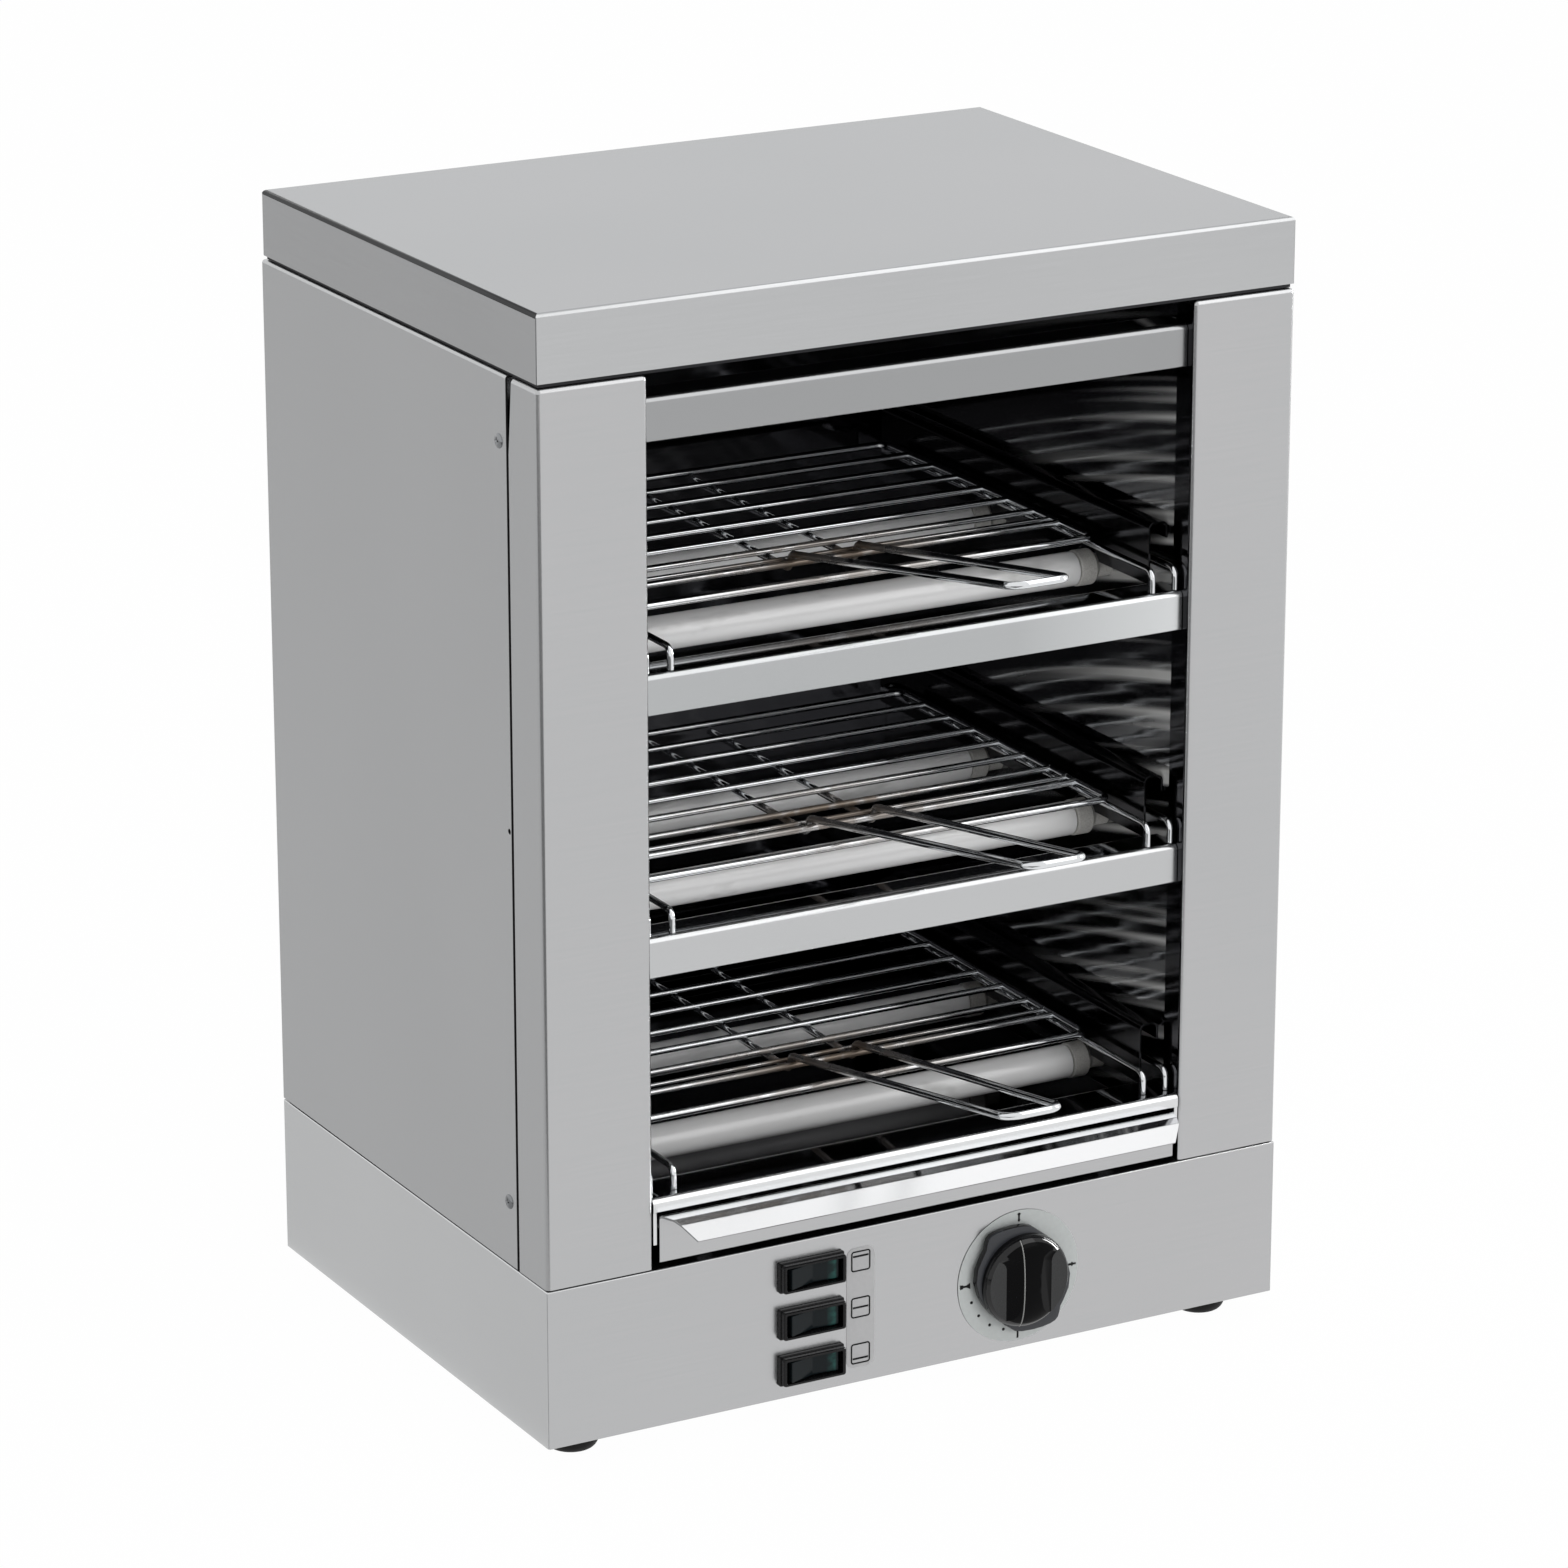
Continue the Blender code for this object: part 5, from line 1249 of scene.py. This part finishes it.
def build_knob():
    """The knob: a skirt with two ears, and a dome with two scoops that leave a grip with an index line."""
    centre = middle("dial_plate")
    back = low("dial_plate").y - 0.0008

    def place(x, depth, z):
        return Vector((centre.x + x / 1000, back - depth / 1000, centre.z + z / 1000))

    loops = []
    for depth, share in KNOB_SKIRT:
        loop = []
        for half_turn in (0, 180):
            for degrees, reach in KNOB_OUTLINE:
                angle = math.radians(degrees + half_turn)
                loop.append(place(reach * share * math.sin(angle), depth, reach * share * math.cos(angle)))
        loops.append(loop)
    # Painted sheen: the skirt's front faces are lighter grey.
    skirt = faced(lofted("knob_skirt", loops, GLOSSY_BLACK), SKIRT_FACE, lambda face: face.normal.y < -0.5)
    profile = list(KNOB_SHAFT)
    for step in range(DOME_STEPS):
        reach = DOME_RADIUS * math.cos(math.pi / 2 * step / DOME_STEPS) ** (2 / DOME_POWER)
        profile.append((reach / 1000, dome_depth(reach) / 1000))
    profile.append((0, dome_depth(0) / 1000))
    body = turned("knob_body", profile, (centre.x, back, centre.z), TO_FRONT, GLOSSY_BLACK, 128)
    scoops = []
    cuts = (
        (SCOOP_FLOOR, GRIP_FOOT, SCOOP_TOP),
        (DOME_START + DOME_RISE + 0.6, GRIP_EDGE - 1.6, SCOOP_TOP + 4.5),
    )
    for side in (-1, 1):
        loops = []
        for depth, edge, top in cuts:
            near, far = side * edge, side * SCOOP_REACH
            corners = [(near, SCOOP_FOOT), (far, SCOOP_FOOT), (far, top), (near, top)][::side]
            loops.append([place(x, depth, z) for x, z in rounded(corners, 5.0, 6, closed=True)])
        scoops.append(lofted("knob_scoop", loops, GLOSSY_BLACK))
    body = smooth(pierce(body, scoops), math.radians(17))
    floor_y, grip = back - SCOOP_FLOOR / 1000, GRIP_FOOT / 1000
    # Painted shade on the grip's front faces, and painted sheen on the scoop floors.
    faced(body, BLACK_FACE, lambda face: face.normal.y < -0.8 and abs(face.center.x - centre.x) < grip)
    faced(body, SCOOP_FACE, lambda face: face.normal.y < -0.99 and abs(face.center.y - floor_y) < 0.00005)
    heights = [-INDEX_HALF + 2 * INDEX_HALF * step / 20 for step in range(21)]
    line = [place(INDEX_X, dome_depth(math.hypot(INDEX_X, height)), height) for height in heights]
    index = bent_wire("index_line", line, 0.0003, PALE_INLAY)
    carried(merged("timer_dial_knob", [skirt, body, index]), "black_plastic", "timer_knob", body="knob")


# Feet, gland and fasteners

def build_feet():
    """Domed rubber feet."""
    flat, rise, edge = 0.0085, 0.005, 0.0006
    for depth_name in TUBES:
        for side_name, _ in SIDES:
            node = f"{depth_name}_{side_name}_foot"
            top, centre = high(node), middle(node)
            radius = (top.x - low(node).x) / 2
            profile = [(0, 0), (flat, 0)]
            for step in range(1, 9):
                angle = math.pi / 2 * step / 8
                profile.append((flat + (radius - flat) * math.sin(angle), rise * (1 - math.cos(angle))))
            profile += [(radius, top.z - edge), (radius - edge, top.z), (0, top.z)]
            name, start = f"{depth_name}_{side_name}_rubber_foot", (centre.x, centre.y, 0)
            carried(turned(name, profile, start, (0, 0, 1), RUBBER, 64), "black_rubber", node)


# The gland's profile: radius, and place along its axis from the back wall.
GLAND_PROFILE = (
    (0.0045, 0.0160), (0.0072, 0.0160), (0.0095, 0.0125), (0.0095, 0.0050), (0.0120, 0.0050),
    (0.0120, 0.0000), (0.0080, 0.0000), (0.0080, -0.0016), (0.0115, -0.0016), (0.0115, -0.0056),
    (0.0080, -0.0056), (0.0080, -0.0100), (0.0045, -0.0100),
)


def build_gland():
    """The domed cable gland at the back."""
    centre = middle("cable_gland")
    profile = rounded(GLAND_PROFILE, 0.0004, 2, closed=True)
    start = (centre.x, BACK + SEAT, centre.z)
    gland = turned("domed_gland", profile, start, TO_BACK, BLACK_MATT, 48, closed=True)
    carried(gland, "black_plastic", "cable_gland")


def build_screws():
    """The domed screws of the side panels, the back wall and the base plate."""
    places = []
    seam = low("left_side_panel").y + PANEL_SCREW_SETBACK
    middle_height = (BODY_BOTTOM + BODY_TOP) / 2
    back_heights = (BODY_BOTTOM + BACK_SCREW_FROM_BOTTOM, middle_height, BODY_TOP - BACK_SCREW_FROM_TOP)
    for _, side in SIDES:
        for height in (BODY_BOTTOM + PANEL_SCREW_FROM_END, BODY_TOP - PANEL_SCREW_FROM_END):
            places.append(((side * HALF_WIDTH, seam, height), (side, 0, 0)))
        for height in back_heights:
            places.append(((side * BACK_SCREW_X, BACK, height), (0, 1, 0)))
        for depth in (FRONT + BASE_SCREW_FROM_END, BACK - BASE_SCREW_FROM_END):
            places.append(((side * BASE_SCREW_X, depth, low("base_plate").z), (0, 0, -1)))
    start = bpy.data.meshes.new("screw_places")
    start.from_pydata([place for place, _ in places], [], [])
    facing = start.attributes.new("facing", "FLOAT_VECTOR", "POINT")
    facing.data.foreach_set("vector", [share for _, direction in places for share in direction])
    sizes = {"HeadRadius": 0.0034, "Rise": 0.0012, "SlotWidth": 0.0010}
    carried(grown("domed_screws", DOMED_SCREWS, start, Material=SCREW_STEEL, **sizes), "chromed_wire")


build_lid()
build_base()
build_columns()
build_side_panels()
build_rear_panel()
build_rails()
build_tray()
for level in LEVELS:
    for side_name, side in SIDES:
        build_runner(level, side_name, side)
    build_grid(level)
    build_heaters(level)
for number in SWITCHES:
    build_switch(number)
build_label()
build_dial()
build_knob()
build_feet()
build_gland()
build_screws()

KEPT_FINISHES = {
    "base_plate": SATIN_LID,
    "chamber_ceiling": CEILING_STEEL,
    "left_chamber_liner": STREAKED_WALL,
    "right_chamber_liner": STREAKED_WALL,
    "timer_body": BLACK_MATT,
}
for node, material in KEPT_FINISHES.items():
    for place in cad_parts[node].material_slots:
        place.material = material


# Camera, lights and surroundings

def build_camera():
    lens = bpy.data.cameras.new("photo_camera")
    lens.lens = 145.697
    lens.sensor_width = 36.0
    camera = bpy.data.objects.new("photo_camera", lens)
    camera.location = (-1.35087675, -2.3925794, 1.15336623)
    camera.rotation_euler = (math.radians(72.119), 0.0, math.radians(-29.037))
    bpy.context.scene.collection.objects.link(camera)
    bpy.context.scene.camera = camera


def mixed_by_ray(tree, unseen, seen, most=1.0):
    """One shader for scattered rays, another for rays from the camera, off gloss or through clear parts."""
    rays = add(tree, "ShaderNodeLightPath").outputs
    first = math_of(tree, "MAXIMUM", rays["Is Camera Ray"], rays["Is Glossy Ray"])
    share = math_of(tree, "MULTIPLY", math_of(tree, "MAXIMUM", first, rays["Is Transmission Ray"]), most)
    return add(tree, "ShaderNodeMixShader", {0: share, 1: unseen, 2: seen}).outputs[0]


def build_world():
    world = bpy.data.worlds.new("white_studio")
    world.use_nodes = True
    tree = world.node_tree
    tree.nodes.clear()
    white = (1, 1, 1, 1)
    soft, seen = [
        add(tree, "ShaderNodeBackground", {"Color": white, "Strength": strength}).outputs[0]
        for strength in (0.55, 1.0)
    ]
    add(tree, "ShaderNodeOutputWorld", {0: mixed_by_ray(tree, soft, seen)})
    bpy.context.scene.world = world


def stage_sheet(name, rows, material):
    """A floor, card or scrim through rows of points. It isn't part of the toaster."""
    mesh = bpy.data.meshes.new(name)
    width = len(rows[0])
    faces = []
    for row in range(len(rows) - 1):
        for step in range(width - 1):
            first = row * width + step
            faces.append((first, first + 1, first + 1 + width, first + width))
    mesh.from_pydata([point for row in rows for point in row], [], faces)
    mesh.materials.append(material)
    sheet = bpy.data.objects.new(name, mesh)
    bpy.context.scene.collection.objects.link(sheet)
    return sheet


def level_rows(low_x, high_x, low_y, high_y, height):
    return [[(x, y, height) for x in (low_x, high_x)] for y in (low_y, high_y)]


def build_floor():
    """A white floor that keeps a faint shadow."""
    floor = Look("white_floor", "F2F2F2", 0.0, 0.9)
    glow = add(floor.tree, "ShaderNodeEmission", {"Color": (1, 1, 1, 1), "Strength": 1.0}).outputs[0]
    both = mixed_by_ray(floor.tree, floor.shader.outputs[0], glow, 0.985)
    floor.tree.links.new(both, floor.tree.nodes["Material Output"].inputs[0])
    stage_sheet("studio_floor", level_rows(-15, 15, -10, 20, 0), floor.material)


def build_card(name, code, strength, rows):
    """A card or scrim that only the steel and the gloss mirror."""
    look = Look(name, "000000", 0.0, 1.0, Emission_Color=srgb(code), Emission_Strength=strength)
    card = stage_sheet(name, rows, look.material)
    card.visible_camera = False
    card.visible_diffuse = False
    card.visible_shadow = False


def build_cards():
    """A grey card for the sides, a darker one for the near corner, and a bright arc over the front bends."""
    build_card("grey_side_card", "CCCCCC", 1.0, level_rows(-2.9, -0.20, -0.35, 3.85, 0.001))
    build_card("shaded_corner_card", "6E6E6E", 1.0, level_rows(-2.9, -0.25, -2.05, -0.36, 0.0012))
    arc = []
    for step in range(13):
        angle = math.radians(-32 + 106 * step / 12)
        arc.append([(x, -0.05 - 1.9 * math.sin(angle), 0.3 + 1.9 * math.cos(angle)) for x in (0.6, 1.6)])
    build_card("bright_front_scrim", "FFFFFF", 2.0, arc)


def build_light(name, place, target, size, watts):
    """A rectangular lamp that lights the scene unseen."""
    lamp = bpy.data.lights.new(name, "AREA")
    lamp.shape = "RECTANGLE"
    lamp.size, lamp.size_y = size
    lamp.energy = watts
    piece = bpy.data.objects.new(name, lamp)
    piece.location = place
    piece.rotation_euler = (Vector(target) - Vector(place)).to_track_quat("-Z", "Y").to_euler()
    piece.visible_glossy = False
    bpy.context.scene.collection.objects.link(piece)
    return piece


build_camera()
build_world()
build_floor()
build_cards()
build_light("soft_overhead", (0.4, -0.9, 2.2), (0.0, 0.0, 0.3), (1.4, 1.4), 11.0)
build_light("soft_front", (0.7, -2.3, 0.9), (0.0, 0.0, 0.3), (0.9, 0.9), 12.0)
# The strip works the other way round: it shows in the steel and lights nothing matt.
strip = build_light("right_strip", (2.0, -0.4, 0.75), (0.0, -0.1, 0.1), (0.20, 1.1), 28.0)
strip.visible_glossy = True
strip.visible_diffuse = False

bpy.context.scene.view_settings.view_transform = "Standard"
